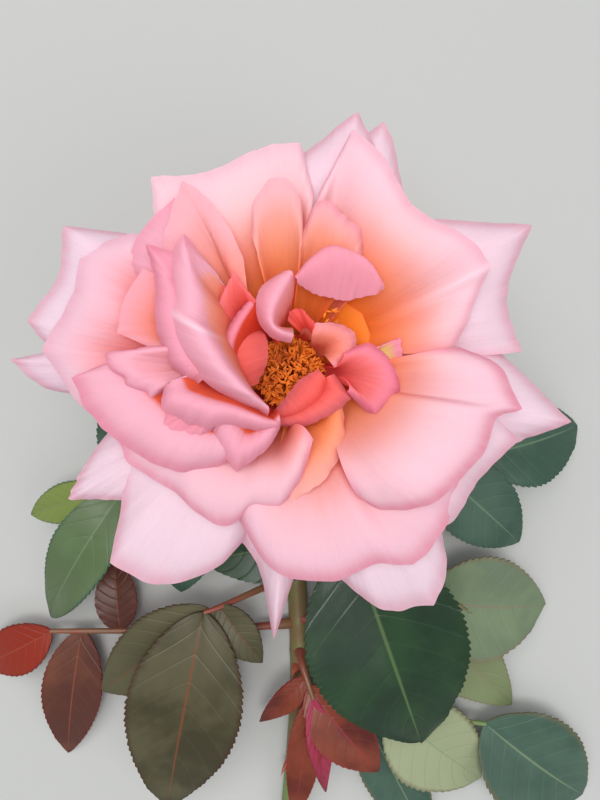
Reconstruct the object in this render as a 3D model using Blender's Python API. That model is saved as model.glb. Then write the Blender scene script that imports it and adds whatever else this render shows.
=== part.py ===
"""Cut flowering shoot of a garden rose: one open bloom that faces up on a bent neck, over a stem
that lies on its side with its leaves round it.

Sizes are in millimetres and turned into metres where a mesh is made. The shoot is laid out with the
bloom's axis on the Z axis, the stem towards -Y and the floor at Z = 0. At the end it is moved so that
the origin is under the middle of the whole shoot, on the floor.
"""

import math

import bmesh
import bpy
from mathutils import Vector

MM = 0.001
CLEAR = 0.35  # left between two solids that touch on the living shoot
SHARP = 50.0  # degrees between two faces from which their edge stays sharp

# The bloom
BLOOM_BASE = 40.0  # height of the receptacle's underside
PETAL_THICK = 0.75
PETAL_CREST = 0.6  # how far from its claw to its rim a petal's crest lies
CREST_BEFORE = 0.45  # how round a petal comes up to its crest and goes over it, as shares of both lengths
CREST_AFTER = 0.55
# How far along a petal, from its claw to its rim, its rows of faces lie
PETAL_STEPS = {
    "guard": (0.0, 0.3, PETAL_CREST, 0.8, 1.0),
    "outer": (0.0, 0.22, 0.42, PETAL_CREST, 0.8, 1.0),
    "inner": (0.0, 0.3, PETAL_CREST, 0.8, 1.0),
    "heart": (0.0, 0.35, PETAL_CREST, 1.0),
}
CLAW_LEAST = 8.0  # degrees that a claw spans, with CLAW_SHARE of what the rim spans, up to CLAW_MOST
CLAW_SHARE = 0.45
CLAW_MOST = 62.0

# The receptacle, as (radius, height over its underside)
RECEPTACLE = ((8.6, 0.0), (9.3, 2.2), (8.5, 5.2), (6.6, 7.0), (3.0, 7.8))

# Where each whorl's claws sit on the receptacle, and how far out and up a petal climbs from its claw
WHORLS = {
    "guard": {"radius": 8.0, "height": 1.6, "out": 12.0, "up": 13.0},
    "outer": {"radius": 7.2, "height": 3.2, "out": 12.0, "up": 12.0},
    "inner": {"radius": 6.4, "height": 4.6, "out": 8.0, "up": 12.0},
    "heart": {"radius": 6.4, "height": 5.4, "out": 4.4, "up": 10.0},
}

# A petal that spreads: whorl, (share of its reach that rolls over, how far its crest is over its rim at a
# reach of 50), and its rim as (bearing in degrees, reach, height over the receptacle's underside)
PETALS = {
    "guard_right": (
        "guard", (0.34, 6),
        ((5, 60, 15), (15, 57, 19), (23, 60, 19), (31, 72, 17), (46, 52, 22)),
    ),
    "guard_right_low": ("guard", (0.36, 6), ((-27, 53, 16), (-18, 60, 15), (-10, 74, 14), (5, 54, 17))),
    "guard_low_right": (
        "guard", (0.34, 6),
        ((-53, 52, 18), (-43, 55, 20), (-31, 54, 21), (-17, 60, 18), (-4, 50, 22)),
    ),
    "guard_low": (
        "guard", (0.36, 6),
        ((-88, 48, 15), (-77, 54, 13), (-68, 66.5, 12), (-58, 71.5, 11), (-51, 65, 13), (-42, 50, 16)),
    ),
    "guard_spike": (
        "guard", (0.38, 7),
        ((-108, 44, 13), (-99, 51, 10), (-93, 72, 6), (-88, 53, 10), (-80, 44, 13)),
    ),
    "guard_low_left": (
        "guard", (0.36, 4),
        ((199, 46, 15), (216, 52, 17), (227, 65.5, 17), (238, 63.5, 16), (249, 54, 16), (257, 42, 14)),
    ),
    "guard_left_low": ("guard", (0.32, 5), ((198, 48, 14), (205, 58, 14), (210, 66, 12), (219, 52, 14))),
    "guard_left": (
        "guard", (0.3, 5),
        ((137, 49, 21), (147, 66, 21), (157, 61, 22), (169, 66, 20), (177, 55, 21)),
    ),
    "guard_far_left": ("guard", (0.3, 5), ((173, 54, 14), (177.5, 73, 10), (183.5, 64, 10), (187, 50, 13))),
    "guard_top": (
        "guard", (0.3, 5),
        ((58, 53, 23), (66, 56, 24), (75, 66, 22), (86, 53, 24), (97, 47, 25)),
    ),
    "guard_top_right": (
        "guard", (0.3, 5),
        ((48, 48, 18), (58, 54, 18), (65, 63, 17), (69, 68, 16), (80, 53, 17)),
    ),
    "outer_left": (
        "outer", (0.3, 3),
        ((138, 49, 28), (149, 57, 26), (160, 54, 28), (175, 59, 25), (189, 50, 26), (200, 43, 27)),
    ),
    "outer_top_left": (
        "outer", (0.28, 1.5),
        ((82, 42, 30), (87, 54, 29), (98, 52, 31), (113, 50, 31), (125, 56, 28), (133, 45, 30)),
    ),
    "outer_top_right": (
        "outer", (0.26, 1),
        (
            (8, 40, 29), (18, 45, 31), (28, 54, 29), (38, 51, 33),
            (52, 47, 34), (66, 54, 32), (75, 59, 29), (80, 42, 31),
        ),
    ),
    "outer_right": (
        "outer", (0.36, 4),
        (
            (-60, 36, 25), (-55, 40, 27), (-42, 45, 30.5), (-22, 49.5, 30),
            (-12, 50, 29.5), (-9, 56.3, 27), (2, 49.5, 28.5), (8, 41, 28),
        ),
    ),
    "outer_low": (
        "outer", (0.36, 5),
        (
            (-110, 37, 22), (-94, 49, 21), (-79, 53, 20), (-64, 52, 22),
            (-57, 57, 20), (-45, 54, 22), (-28, 49, 25),
        ),
    ),
    "inner_cup": (
        "inner", (0.1, 0),
        ((-14, 20, 18.5), (8, 21.5, 19.5), (30, 22.5, 20.5), (52, 24, 22), (76, 24, 23), (98, 21, 24)),
    ),
    "inner_peach": (
        "inner", (0.3, 1),
        ((263, 29, 24), (272, 31, 24), (291, 26.5, 24), (310, 21, 23), (330, 15, 21)),
    ),
    "inner_top": (
        "inner", (0.22, 0.2),
        ((84, 32, 32.5), (86, 39, 33), (90, 43.8, 33), (96, 44, 33), (101, 40, 33), (104.5, 32, 32.5)),
    ),
    "inner_top_right": (
        "inner", (0.2, 0.8),
        ((57, 31, 32), (63.5, 36.5, 33), (70, 37.5, 34), (76, 40, 33.5), (80.5, 39, 33), (84.5, 32, 31.5)),
    ),
}

# A petal that folds or curls: whorl, how steeply it comes up to its crest, then its crest and its rim, point
# by point, as (across, up, height)
FOLDED_PETALS = {
    "inner_top_left": (
        "inner", 1.2,
        (
            (-10.5, 14.5, 25.5), (-13, 22.5, 30), (-16.5, 29.5, 32),
            (-19, 33.5, 33), (-22.5, 29, 33), (-23.5, 22, 32),
        ),
        (
            (-9.4, 18.5, 28.5), (-11.2, 28.5, 32.8), (-17, 38, 34),
            (-24.1, 43.8, 33), (-27.5, 33, 33), (-29, 25, 32),
        ),
    ),
    "inner_back_left": (
        "inner", 1.0,
        ((-20, 30, 31), (-25, 27, 32), (-28, 22, 31), (-26, 17, 30)),
        ((-26, 40, 32), (-34, 32.5, 31), (-37, 25.5, 30), (-33, 20, 30)),
    ),
    "inner_left": (
        "inner", 1.0,
        ((-26, 20, 31.5), (-29.5, 14, 32), (-31, 9, 31.5), (-25, 5, 31)),
        ((-33, 23.5, 33), (-37.3, 16.5, 33), (-39, 9, 32.5), (-30, 5, 32)),
    ),
    "inner_fold_outer": (
        "inner", 2.0,
        (
            (-23, 24, 34), (-25, 21, 35.5), (-24, 17, 36.5), (-23.5, 11, 37),
            (-21.5, 4.5, 36.5), (-19.5, 1, 35.5), (-17, 0, 34),
        ),
        (
            (-26, 27, 35), (-32.2, 29, 34), (-30, 21, 34), (-30, 12, 34),
            (-28.4, 5, 33), (-24.5, -0.6, 32.5), (-20.6, -2.8, 32.5),
        ),
    ),
    "inner_fold": (
        "inner", 3.2,
        (
            (-14.8, 20, 32), (-17.2, 22.6, 35.5), (-20, 21.5, 38.5), (-18.8, 17, 39.5), (-18.2, 11.5, 40),
            (-15.5, 6.3, 40), (-12.3, 0.9, 39), (-8.2, -4.1, 37.5), (-6.2, -6.2, 36), (-4.8, -7.6, 35),
        ),
        (
            (-16.4, 22.6, 35), (-19, 25.4, 37), (-23.4, 30.9, 38), (-26.8, 24, 36), (-27.5, 18, 35.5),
            (-27, 11.5, 36), (-25, 4.8, 35.5), (-19.4, -1.5, 34.5), (-11.8, -6.6, 33.5), (-4.6, -10, 32.5),
        ),
    ),
    "inner_ragged": (
        "inner", 1.4,
        (
            (-25, 5, 34.5), (-30, 4.5, 35.5), (-34, 2.5, 35.5), (-33, 0, 35.5),
            (-30.5, -1.5, 35), (-27.5, -2.5, 34.5), (-25, -1.5, 34), (-21, -0.5, 34),
        ),
        (
            (-29, 6.2, 33), (-35.5, 5.2, 34), (-43.4, 4.3, 33), (-38.8, -1, 33),
            (-35.4, -4.4, 32.5), (-31.9, -7, 31.5), (-28.4, -4, 32.5), (-25, -1.8, 33),
        ),
    ),
    "inner_rolled": (
        "inner", 2.2,
        (
            (-24, -1.5, 35), (-22.5, -4, 36), (-19.8, -5.2, 36.5), (-16.5, -6.3, 36.5),
            (-12, -7.6, 36), (-8, -9.3, 35), (-4.8, -10.6, 34), (-3, -11.2, 33),
        ),
        (
            (-28, -3.6, 34), (-28.6, -7.5, 33), (-25.5, -10.8, 32.5), (-20.5, -12.6, 32.5),
            (-15, -12.4, 32.5), (-9.5, -13, 31.5), (-5, -14, 30.5), (-2, -13.2, 30.5),
        ),
    ),
    "inner_tucked": (
        "inner", 1.6,
        ((-23, -7, 32), (-24.5, -9.5, 32.5), (-22.5, -11, 32), (-19, -11, 32), (-15, -9, 31.5)),
        ((-31.5, -8, 30), (-31.5, -13.2, 29.5), (-27, -17.4, 29), (-22, -17.4, 29), (-17.5, -13.8, 30.5)),
    ),
    "inner_triangle": (
        "inner", 1.4,
        (
            (-13, -9, 32.5), (-11.5, -12, 32), (-9.5, -14.5, 31.5),
            (-6.5, -13.5, 31.5), (-3.6, -11.5, 31.5), (-2, -10, 31),
        ),
        (
            (-17.4, -13.5, 31), (-15.4, -18.8, 30), (-12.1, -23.3, 28),
            (-8.4, -20.6, 29), (-4.6, -17.4, 30), (-2, -13, 30),
        ),
    ),
    "rim_low_left": (
        "outer", 1.3,
        (
            (-29, 3, 30), (-36, 0.5, 31), (-33, -4, 32), (-29, -8, 32),
            (-24, -12, 31.5), (-18.5, -14, 31), (-14, -14, 30), (-9, -12.5, 28),
        ),
        (
            (-41, 2.5, 29), (-51, -1.4, 28), (-47, -9, 28.5), (-41.5, -14.7, 28.5),
            (-32, -21.2, 28), (-24.3, -23.4, 27.5), (-17.7, -22.6, 27.5), (-12.5, -20.2, 27.5),
        ),
    ),
    "outer_low_left": (
        "outer", 1.1,
        (
            (-30, -10, 25), (-29, -15, 26), (-24, -19, 27), (-18, -23, 27.5), (-12, -25, 27.5),
            (-7, -24, 28), (-2, -23, 28), (1.5, -18, 28), (3, -12.5, 27),
        ),
        (
            (-41, -15, 24), (-38.5, -22, 24), (-27.6, -28.6, 24.5), (-19, -36, 23.5), (-14.3, -37.2, 23),
            (-9, -33.2, 24), (-2.5, -33.5, 24), (2.9, -25.5, 26), (5.8, -15.8, 28),
        ),
    ),
    "inner_hood": (
        "inner", 1.5,
        (
            (1.8, 21.4, 34), (4.7, 25, 35.5), (8.5, 27.8, 36),
            (12.6, 27.4, 36), (17, 25, 35.5), (21.4, 19.6, 34),
        ),
        (
            (2.2, 20.4, 33), (5.4, 18.4, 32), (9, 17.2, 31.5),
            (12.8, 16.8, 31.5), (17, 17, 32), (21.8, 18.6, 33),
        ),
    ),
    "heart_curl": (
        "heart", 3.0,
        (
            (1.1, 22.2, 33.5), (-1.1, 18, 34), (-3, 14, 34),
            (-3.2, 11, 33.5), (-1.1, 9.4, 32.5), (1.2, 8.9, 31),
        ),
        (
            (-1.4, 22.8, 31.5), (-6, 19.7, 31), (-7.3, 15.6, 30.5),
            (-6.4, 11.2, 30), (-3.2, 7.9, 29.5), (0.8, 7, 29),
        ),
    ),
    "heart_blade": (
        "heart", 1.2,
        ((-13.5, 6, 25), (-13, 12, 28), (-11.8, 16.5, 30), (-10, 17, 30), (-8, 14, 28)),
        ((-17.4, 8.5, 29), (-15.8, 16, 32), (-12.2, 23.2, 33.5), (-10.6, 20.3, 33), (-7.4, 16.6, 31)),
    ),
    "heart_tip": (
        "heart", 1.0,
        ((-14.5, 9, 24), (-14, 14, 27), (-12.4, 15, 27)),
        ((-17, 14, 29), (-15.7, 20.8, 31), (-13.4, 18.6, 30)),
    ),
    "heart_deep": (
        "heart", 1.2,
        ((-7.5, 12.5, 20), (-5.5, 13, 21), (-4, 10.5, 21), (-3.4, 7.6, 20)),
        ((-10.5, 16, 23), (-7, 17.8, 25), (-3.6, 13, 25), (-2.2, 7.2, 22)),
    ),
    "heart_strip": (
        "heart", 2.5,
        ((-8, 15.6, 31), (-10.8, 11, 31.5), (-12.6, 6.4, 31), (-12.8, 2.6, 29)),
        ((-9, 16.6, 30), (-12.8, 12.2, 29), (-15.6, 6.6, 28), (-14.6, 1.8, 27)),
    ),
    "heart_round": (
        "heart", 1.2,
        ((-14.4, 11, 24), (-14.6, 6.5, 26.5), (-13.4, 1.5, 26.5), (-10.6, -3.6, 23.5)),
        ((-10.6, 11.8, 23), (-5.6, 8.9, 24.5), (-4.9, 3.6, 25), (-7.4, -2.6, 23)),
    ),
    "heart_top_left": (
        "heart", 1.0,
        ((3, 9.5, 24), (3.6, 10.5, 25.5), (4.8, 10.4, 27), (6, 8.6, 27)),
        ((0, 12.2, 27), (0.4, 14.4, 28), (3, 14.8, 29), (6, 11.6, 30)),
    ),
    "heart_top_right": (
        "heart", 1.2,
        ((5.6, 8.4, 28), (8.6, 8.4, 27.5), (11.5, 7.4, 27), (11.5, 5, 27), (9.6, 3, 26)),
        ((6.2, 11.4, 29), (11.8, 11.4, 27), (15.8, 9.4, 26), (16, 5.4, 25.5), (11, 1.2, 26)),
    ),
    "heart_right": (
        "heart", 1.0,
        ((13, 3.4, 28), (16.6, 3.8, 29), (20, 1.5, 29), (20.8, -2, 28.5), (19, -6.4, 27), (14.6, -3.4, 26)),
        (
            (13.4, 4.6, 27), (19, 6.8, 27.5), (24.6, 3, 26),
            (26.8, -4.2, 25), (21.2, -11.6, 23), (14.2, -4.6, 25),
        ),
    ),
    "heart_spike": (
        "heart", 1.0,
        ((16.5, 3.5, 24), (20.5, 5, 25.5), (22, 1.8, 25.5), (21.4, -1, 25)),
        ((20.4, 5.6, 27), (26.4, 8, 28.5), (27.2, 2.4, 27.5), (26.6, -1.6, 26)),
    ),
    "heart_low": (
        "heart", 1.4,
        ((-3.6, -11.3, 21), (1.5, -9.6, 24.5), (6.4, -6, 27), (8.8, -1.6, 27.5)),
        ((-3.4, -9.8, 21), (-0.6, -6.4, 23), (3, -2, 25), (7.4, 0.6, 26.5)),
    ),
    "heart_low_right": (
        "heart", 1.2,
        ((9, -1.4, 26.5), (9.4, -4, 27), (7.2, -7, 26.5), (2, -10.2, 24), (-3.2, -11.6, 21)),
        ((11, -0.6, 25), (15.2, -6.4, 23.5), (11.4, -9.6, 23), (4, -13, 21.5), (-2.8, -13.2, 19.5)),
    ),
}

# Stamens: a shallow bunch that widens from its foot to its anthers, as (radius, height) over its foot
STAMEN_FROM = 8.2  # over the receptacle's underside
STAMENS = ((3.0, 0.0), (4.2, 2.4), (7.0, 4.8), (4.2, 6.0))

# Calyx: the hip under the bloom and five sepals turned back
HIP = ((2.6, 12.6), (5.4, 11.0), (7.4, 7.0), (7.9, 3.2), (7.6, CLEAR))  # (radius, depth under the bloom)
SEPALS = 5
SEPAL_LONG = 27.0
SEPAL_WIDE = 8.0
SEPAL_THICK = 0.8
SEPAL_FIRST = 36.0  # bearing of the first one, in degrees
SEPAL_ROOT = (0.6, 2.6)  # how far a root is sunk in the hip, and how far it is under the bloom
SEPAL_OVER = (0.45, 2.0)  # its bend: a share of its length outwards, and a rise
SEPAL_TIP = (0.72, 0.55)  # its tip: shares of its length outwards and down
SEPAL_KEEL = 0.8  # how far its edges hang under its middle
SEPAL_POINT = 0.09  # the width left at its tip, as a share of its widest
SEPAL_TAPER = 0.8  # under 1: it stays broad for longer
SEPAL_STEPS = (0.0, 0.22, 0.5, 0.78, 1.0)

# Stem: a bent neck under the hip, then the stem on the floor
NECK_THIN = 2.4
STEM_THICK = 3.5
STEM_START = 0.6  # how far the stem has thickened from the neck to its full width where it meets the neck
NECK_TOP = BLOOM_BASE - HIP[0][1] - CLEAR
NECK_BEND = NECK_TOP - STEM_THICK
STEM_END = 172.0  # distance from the bloom's axis to the cut
STEM_SWAY = 4.0
STEM_SIDES = 10
STEM_STEPS = 12
NECK_STEPS = 8
CUT_STRAIGHT = 4.0  # the last stretch before the cut is straight, so that the cut is square to it
CALYX_SIDES = 14
STAMEN_SIDES = 12
PRICKLES = 8
PRICKLE_LONG = 6.0
PRICKLE_FROM = 50.0  # distance of the first one from the bloom's axis
PRICKLE_TO = 160.0
PRICKLE_LEAN = (24.0, 33.0, 42.0)  # degrees from upright, in turn, and to each side in turn
PRICKLE_SUNK = 1.2
PRICKLE_POINT = (0.8, 0.35)  # its tip, as shares of its length out from the stem and down towards the cut
PRICKLE_MIDDLE = 0.55
PRICKLE_RADII = (1.5, 0.8, 0.2)

# Leaves. Each has the distance of its node down the stem, the side it leaves on (-1 left, 0 top, 1
# right), the end and the rise of its rachis, and its leaflets as (place along the rachis, tip, width,
# rise of the midrib, roll in degrees).
RACHIS_THICK = 1.3
RACHIS_THIN = 0.75
RACHIS_STEPS = 5
RACHIS_SIDES = 6
RACHIS_GAP = 0.15  # left beside CLEAR where a rachis meets the stem's flats
RACHIS_LEAN = 0.35  # how steeply a rachis that leaves sideways goes up
RACHIS_PULL = 0.3  # how far its first direction and its last carry on, as a share of its reach
LEAFLET_SUNK = 0.5  # how far past the rachis's middle line a leaflet's foot reaches
LEAFLET_KEEL = 0.16  # how steeply a leaflet's halves rise from its midrib
LEAFLET_TIP = 0.03  # the width left at its ends, as a share of its widest
LEAFLET_SHAPE = (0.82, 0.8)  # under 1: its widest place is nearer its foot, and its outline is fuller
LEAFLET_THICK = 0.6
LEAFLET_LEAST = 0.011  # the least thickness of a leaflet, as a share of its length
LEAFLET_STEPS = (0.0, 0.1, 0.26, 0.46, 0.66, 0.84, 1.0)
LEAFLET_ACROSS = (-1.0, -0.5, 0.0, 0.5, 1.0)
LEAVES = {
    "leaf_right_upper": {
        "finish": "green_leaf", "node": 34, "side": 1, "end": (60, -26, 17), "rise": 5,
        "leaflets": (
            (1.0, (97, -18, 0.5), 27, 5, 0),
            (0.72, (76, -56, 5), 25, 6, 0),
            (0.72, (62, 22, 0.5), 24, 6, 0),
            (0.42, (48, -60, 9), 20, 5, 0),
        ),
    },
    "leaf_left_upper": {
        "finish": "green_leaf", "node": 30, "side": -1, "end": (-57, -36, 20), "rise": 5,
        "leaflets": (
            (1.0, (-83, -46, 9), 13, 3, 0),
            (0.86, (-79, -81, 3), 21, 12, -35),
            (0.8, (-50, 4, 0.5), 22, 7, 0),
            (0.5, (-34, -70, 12), 24, 5, 0),
        ),
    },
    "leaf_front": {
        "finish": "green_leaf", "node": 44, "side": 1, "end": (18.5, -50, 28), "rise": 3,
        "leaflets": (
            (1.0, (42, -117, 14), 48, 8, 0),
            (0.7, (52, -32, 30), 24, 4, 0),
            (0.7, (-26, -56, 26), 22, 4, 0),
        ),
    },
    "leaf_right_pale": {
        "finish": "pale_leaf", "node": 60, "side": 1, "end": (44, -72, 13), "rise": 3,
        "leaflets": (
            (1.0, (85, -77, 4), 34, 5, 0),
            (0.72, (74, -110, 4), 25, 4, 0),
        ),
    },
    "leaf_bronze": {
        "finish": "bronze_leaf", "node": 69, "side": -1, "end": (-26, -74, 20), "rise": 3,
        "leaflets": (
            (1.0, (-39, -140, 9), 36, 6, 0),
            (0.93, (-59, -101, 13), 24, 3, 0),
            (0.8, (-8, -90, 18), 13, 2, 0),
        ),
    },
    "leaf_red_bronze": {
        "finish": "red_leaf", "node": 83, "side": -1, "end": (-77, -84, 9), "rise": 1,
        "leaflets": (
            (1.0, (-102, -98, 0.5), 17, 3, 0),
            (0.86, (-74, -128, 0.5), 20, 3, 0),
            (0.7, (-57, -60, 5), 14, 2, 0),
        ),
    },
    "leaf_young_red": {
        "finish": "red_leaf", "node": 92, "side": 0, "end": (8, -103, 15), "rise": 2,
        "leaflets": (
            (1.0, (12, -134, 12), 9, 2, 55),
            (0.9, (2, -144, 10), 11, 2, -20),
            (0.75, (29, -128, 11), 19, 3, 0),
            (0.55, (-9, -112, 11), 9, 2, 30),
        ),
    },
    "leaf_right_lower": {
        "finish": "green_leaf", "node": 106, "side": 1, "end": (64, -114, 9), "rise": 2,
        "leaflets": (
            (1.0, (99, -142, 0.5), 34, 4, 0),
            (0.45, (64, -135, 3), 30, 3, 0),
            (0.28, (48, -158, 0.5), 20, 3, 0),
        ),
    },
}

# Finishes, as (colour, roughness)
FINISHES = {
    "petal": ("#f2bccb", 0.55),
    "stamen": ("#c8701e", 0.7),
    "calyx": ("#6f8a4c", 0.6),
    "stem": ("#5f7a3e", 0.55),
    "green_leaf": ("#2f5130", 0.45),
    "pale_leaf": ("#6a8062", 0.5),
    "bronze_leaf": ("#4c4630", 0.4),
    "red_leaf": ("#6a2a20", 0.35),
}


def clear_scene():
    for thing in list(bpy.data.objects):
        bpy.data.objects.remove(thing, do_unlink=True)


def linear(channel):
    """One sRGB channel as the linear value that a shader takes."""
    if channel <= 0.04045:
        return channel / 12.92
    return ((channel + 0.055) / 1.055) ** 2.4


def make_finish(name):
    colour, roughness = FINISHES[name]
    material = bpy.data.materials.new(name)
    material.use_nodes = True
    shader = material.node_tree.nodes["Principled BSDF"]
    channels = [linear(int(colour[i : i + 2], 16) / 255) for i in (1, 3, 5)]
    shader.inputs["Base Color"].default_value = (*channels, 1.0)
    shader.inputs["Roughness"].default_value = roughness
    shader.inputs["Metallic"].default_value = 0.0
    return material


def polar(bearing, reach, height):
    angle = math.radians(bearing)
    return Vector((reach * math.cos(angle), reach * math.sin(angle), height))


def bezier(a, b, c, d, t):
    s = 1.0 - t
    return a * s**3 + b * (3 * s * s * t) + c * (3 * s * t * t) + d * t**3


def add_object(name, mesh_data, finish):
    mesh = bpy.data.meshes.new(name)
    mesh_data.to_mesh(mesh)
    mesh_data.free()
    thing = bpy.data.objects.new(name, mesh)
    bpy.context.scene.collection.objects.link(thing)
    if finish:
        mesh.materials.append(finish)
    return thing


def shade_round(thing):
    """Shades a round solid smooth, with its corners kept sharp."""
    thing.data.shade_smooth()
    thing.data.set_sharp_from_angle(angle=math.radians(SHARP))


def grid_normals(rows):
    """The normal at each point of a grid of points, from its neighbours along and across."""
    last_row = len(rows) - 1
    last_column = len(rows[0]) - 1
    normals = []
    for i, row in enumerate(rows):
        line = []
        for j in range(len(row)):
            along = rows[min(i + 1, last_row)][j] - rows[max(i - 1, 0)][j]
            across = row[min(j + 1, last_column)] - row[max(j - 1, 0)]
            line.append(along.cross(across).normalized())
        normals.append(line)
    return normals


def sheet_solid(rows, thickness):
    """A closed blade of one thickness round a grid of points."""
    body = bmesh.new()
    normals = grid_normals(rows)
    sides = []
    for offset in (thickness / 2, -thickness / 2):
        side = [
            [body.verts.new((point + normal * offset) * MM) for point, normal in zip(row, line)]
            for row, line in zip(rows, normals)
        ]
        sides.append(side)
    front, back = sides
    last_row = len(rows) - 1
    last_column = len(rows[0]) - 1
    for i in range(last_row):
        for j in range(last_column):
            body.faces.new((front[i][j], front[i + 1][j], front[i + 1][j + 1], front[i][j + 1]))
            body.faces.new((back[i][j], back[i][j + 1], back[i + 1][j + 1], back[i + 1][j]))
    for i in range(last_row):
        body.faces.new((front[i][0], back[i][0], back[i + 1][0], front[i + 1][0]))
        body.faces.new((front[i][-1], front[i + 1][-1], back[i + 1][-1], back[i][-1]))
    for j in range(last_column):
        body.faces.new((front[0][j], front[0][j + 1], back[0][j + 1], back[0][j]))
        body.faces.new((front[-1][j], back[-1][j], back[-1][j + 1], front[-1][j + 1]))
    bmesh.ops.triangulate(body, faces=body.faces[:])
    bmesh.ops.recalc_face_normals(body, faces=body.faces[:])
    return body


def turned_solid(profile, sides, height_of):
    """A closed solid turned round the Z axis from (radius, place) pairs."""
    body = bmesh.new()
    rings = []
    for radius, place in profile:
        ring = [body.verts.new(polar(360 * k / sides, radius, height_of(place)) * MM) for k in range(sides)]
        rings.append(ring)
    close_rings(body, rings)
    return body


def close_rings(body, rings):
    sides = len(rings[0])
    for low, high in zip(rings, rings[1:]):
        for k in range(sides):
            n = (k + 1) % sides
            body.faces.new((low[k], low[n], high[n], high[k]))
    body.faces.new(list(reversed(rings[0])))
    body.faces.new(rings[-1])
    bmesh.ops.triangulate(body, faces=[f for f in body.faces if len(f.verts) == 4])
    bmesh.ops.recalc_face_normals(body, faces=body.faces[:])


def tube_solid(centres, radii, sides):
    """A closed tapered tube along a line of points, its rings kept square to the line."""
    body = bmesh.new()
    rings = []
    side = None
    last = len(centres) - 1
    for i, (centre, radius) in enumerate(zip(centres, radii)):
        along = (centres[min(i + 1, last)] - centres[max(i - 1, 0)]).normalized()
        if side is None:
            side = along.orthogonal().normalized()
        side = (side - along * side.dot(along)).normalized()
        other = along.cross(side)
        ring = []
        for k in range(sides):
            angle = 2 * math.pi * k / sides
            spoke = side * math.cos(angle) + other * math.sin(angle)
            ring.append(body.verts.new((centre + spoke * radius) * MM))
        rings.append(ring)
    close_rings(body, rings)
    return body


def keep_largest_shell(thing):
    """Drops the loose scraps and the sealed hollows that a union leaves."""
    body = bmesh.new()
    body.from_mesh(thing.data)
    left = set(body.verts)
    shells = []
    while left:
        front = [left.pop()]
        shell = set(front)
        while front:
            vertex = front.pop()
            for edge in vertex.link_edges:
                other = edge.other_vert(vertex)
                if other in left:
                    left.remove(other)
                    shell.add(other)
                    front.append(other)
        shells.append(shell)
    shells.sort(key=len, reverse=True)
    for shell in shells[1:]:
        bmesh.ops.delete(body, geom=list(shell), context="VERTS")
    bmesh.ops.triangulate(body, faces=body.faces[:])
    body.to_mesh(thing.data)
    body.free()


def fuse(thing, others, solver="EXACT"):
    """Unites thing with the other solids, and removes them."""
    group = bpy.data.collections.new(thing.name + "_pieces")
    bpy.context.scene.collection.children.link(group)
    for other in others:
        bpy.context.scene.collection.objects.unlink(other)
        group.objects.link(other)
    union = thing.modifiers.new("union", "BOOLEAN")
    union.operation = "UNION"
    union.operand_type = "COLLECTION"
    union.collection = group
    union.solver = solver
    bpy.context.view_layer.objects.active = thing
    bpy.ops.object.modifier_apply(modifier=union.name)
    for other in others:
        bpy.data.objects.remove(other, do_unlink=True)
    bpy.data.collections.remove(group)
    keep_largest_shell(thing)


def petal_rails(whorl, crest, rim):
    """A petal's crest and rim, point by point."""
    if len(crest) > 2:
        crest_rail = [Vector((x, y, BLOOM_BASE + height)) for x, y, height in crest]
        rim_rail = [Vector((x, y, BLOOM_BASE + height)) for x, y, height in rim]
        return crest_rail, rim_rail
    share, over = crest
    claw_reach = WHORLS[whorl]["radius"]
    crest_rail = []
    rim_rail = []
    for bearing, reach, height in rim:
        crest_reach = reach - share * (reach - claw_reach)
        crest_height = height + over * reach / 50
        crest_rail.append(polar(bearing, crest_reach, BLOOM_BASE + crest_height))
        rim_rail.append(polar(bearing, reach, BLOOM_BASE + height))
    return crest_rail, rim_rail


def bearing_of(point, near):
    """The bearing of a point in degrees, without a jump of a full turn from the one near it."""
    angle = math.degrees(math.atan2(point.y, point.x))
    return angle + 360 * round((near - angle) / 360)


def petal_rib(seat, steep, claw, crest, rim, steps):
    """The points of a petal from its claw, over its crest, to its rim."""
    foot = polar(claw, seat["radius"], BLOOM_BASE + seat["height"])
    climb = polar((claw + bearing_of(crest, claw)) / 2, seat["radius"] + seat["out"], foot.z + seat["up"])
    rise = crest - climb
    roll = rim - crest
    lead = (rise.normalized() * steep + roll.normalized()).normalized()
    before = crest - lead * rise.length * CREST_BEFORE
    bend = crest + lead * roll.length * CREST_AFTER
    rib = []
    for t in steps:
        if t <= PETAL_CREST:
            rib.append(bezier(foot, climb, before, crest, t / PETAL_CREST))
        else:
            u = (t - PETAL_CREST) / (1 - PETAL_CREST)
            rib.append(crest * (1 - u) ** 2 + bend * (2 * u * (1 - u)) + rim * u * u)
    return rib


def petal_rows(whorl, steep, crest, rim):
    """The grid of a petal: its ribs, side by side, from one edge to the other."""
    crest_rail, rim_rail = petal_rails(whorl, crest, rim)
    middle_point = sum(rim_rail, Vector())
    middle = math.degrees(math.atan2(middle_point.y, middle_point.x))
    bearings = [bearing_of(point, middle) for point in rim_rail]
    span = min(CLAW_MOST, CLAW_LEAST + CLAW_SHARE * (max(bearings) - min(bearings)))
    if bearings[-1] < bearings[0]:
        span = -span
    marks = [0.0]
    for a, b in zip(rim_rail, rim_rail[1:]):
        marks.append(marks[-1] + math.sqrt((b - a).length))
    steps = PETAL_STEPS[whorl]
    ribs = []
    for mark, crest_point, rim_point in zip(marks, crest_rail, rim_rail):
        claw = middle + span * (mark / marks[-1] - 0.5)
        ribs.append(petal_rib(WHORLS[whorl], steep, claw, crest_point, rim_point, steps))
    return [[rib[i] for rib in ribs] for i in range(len(steps))]


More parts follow.
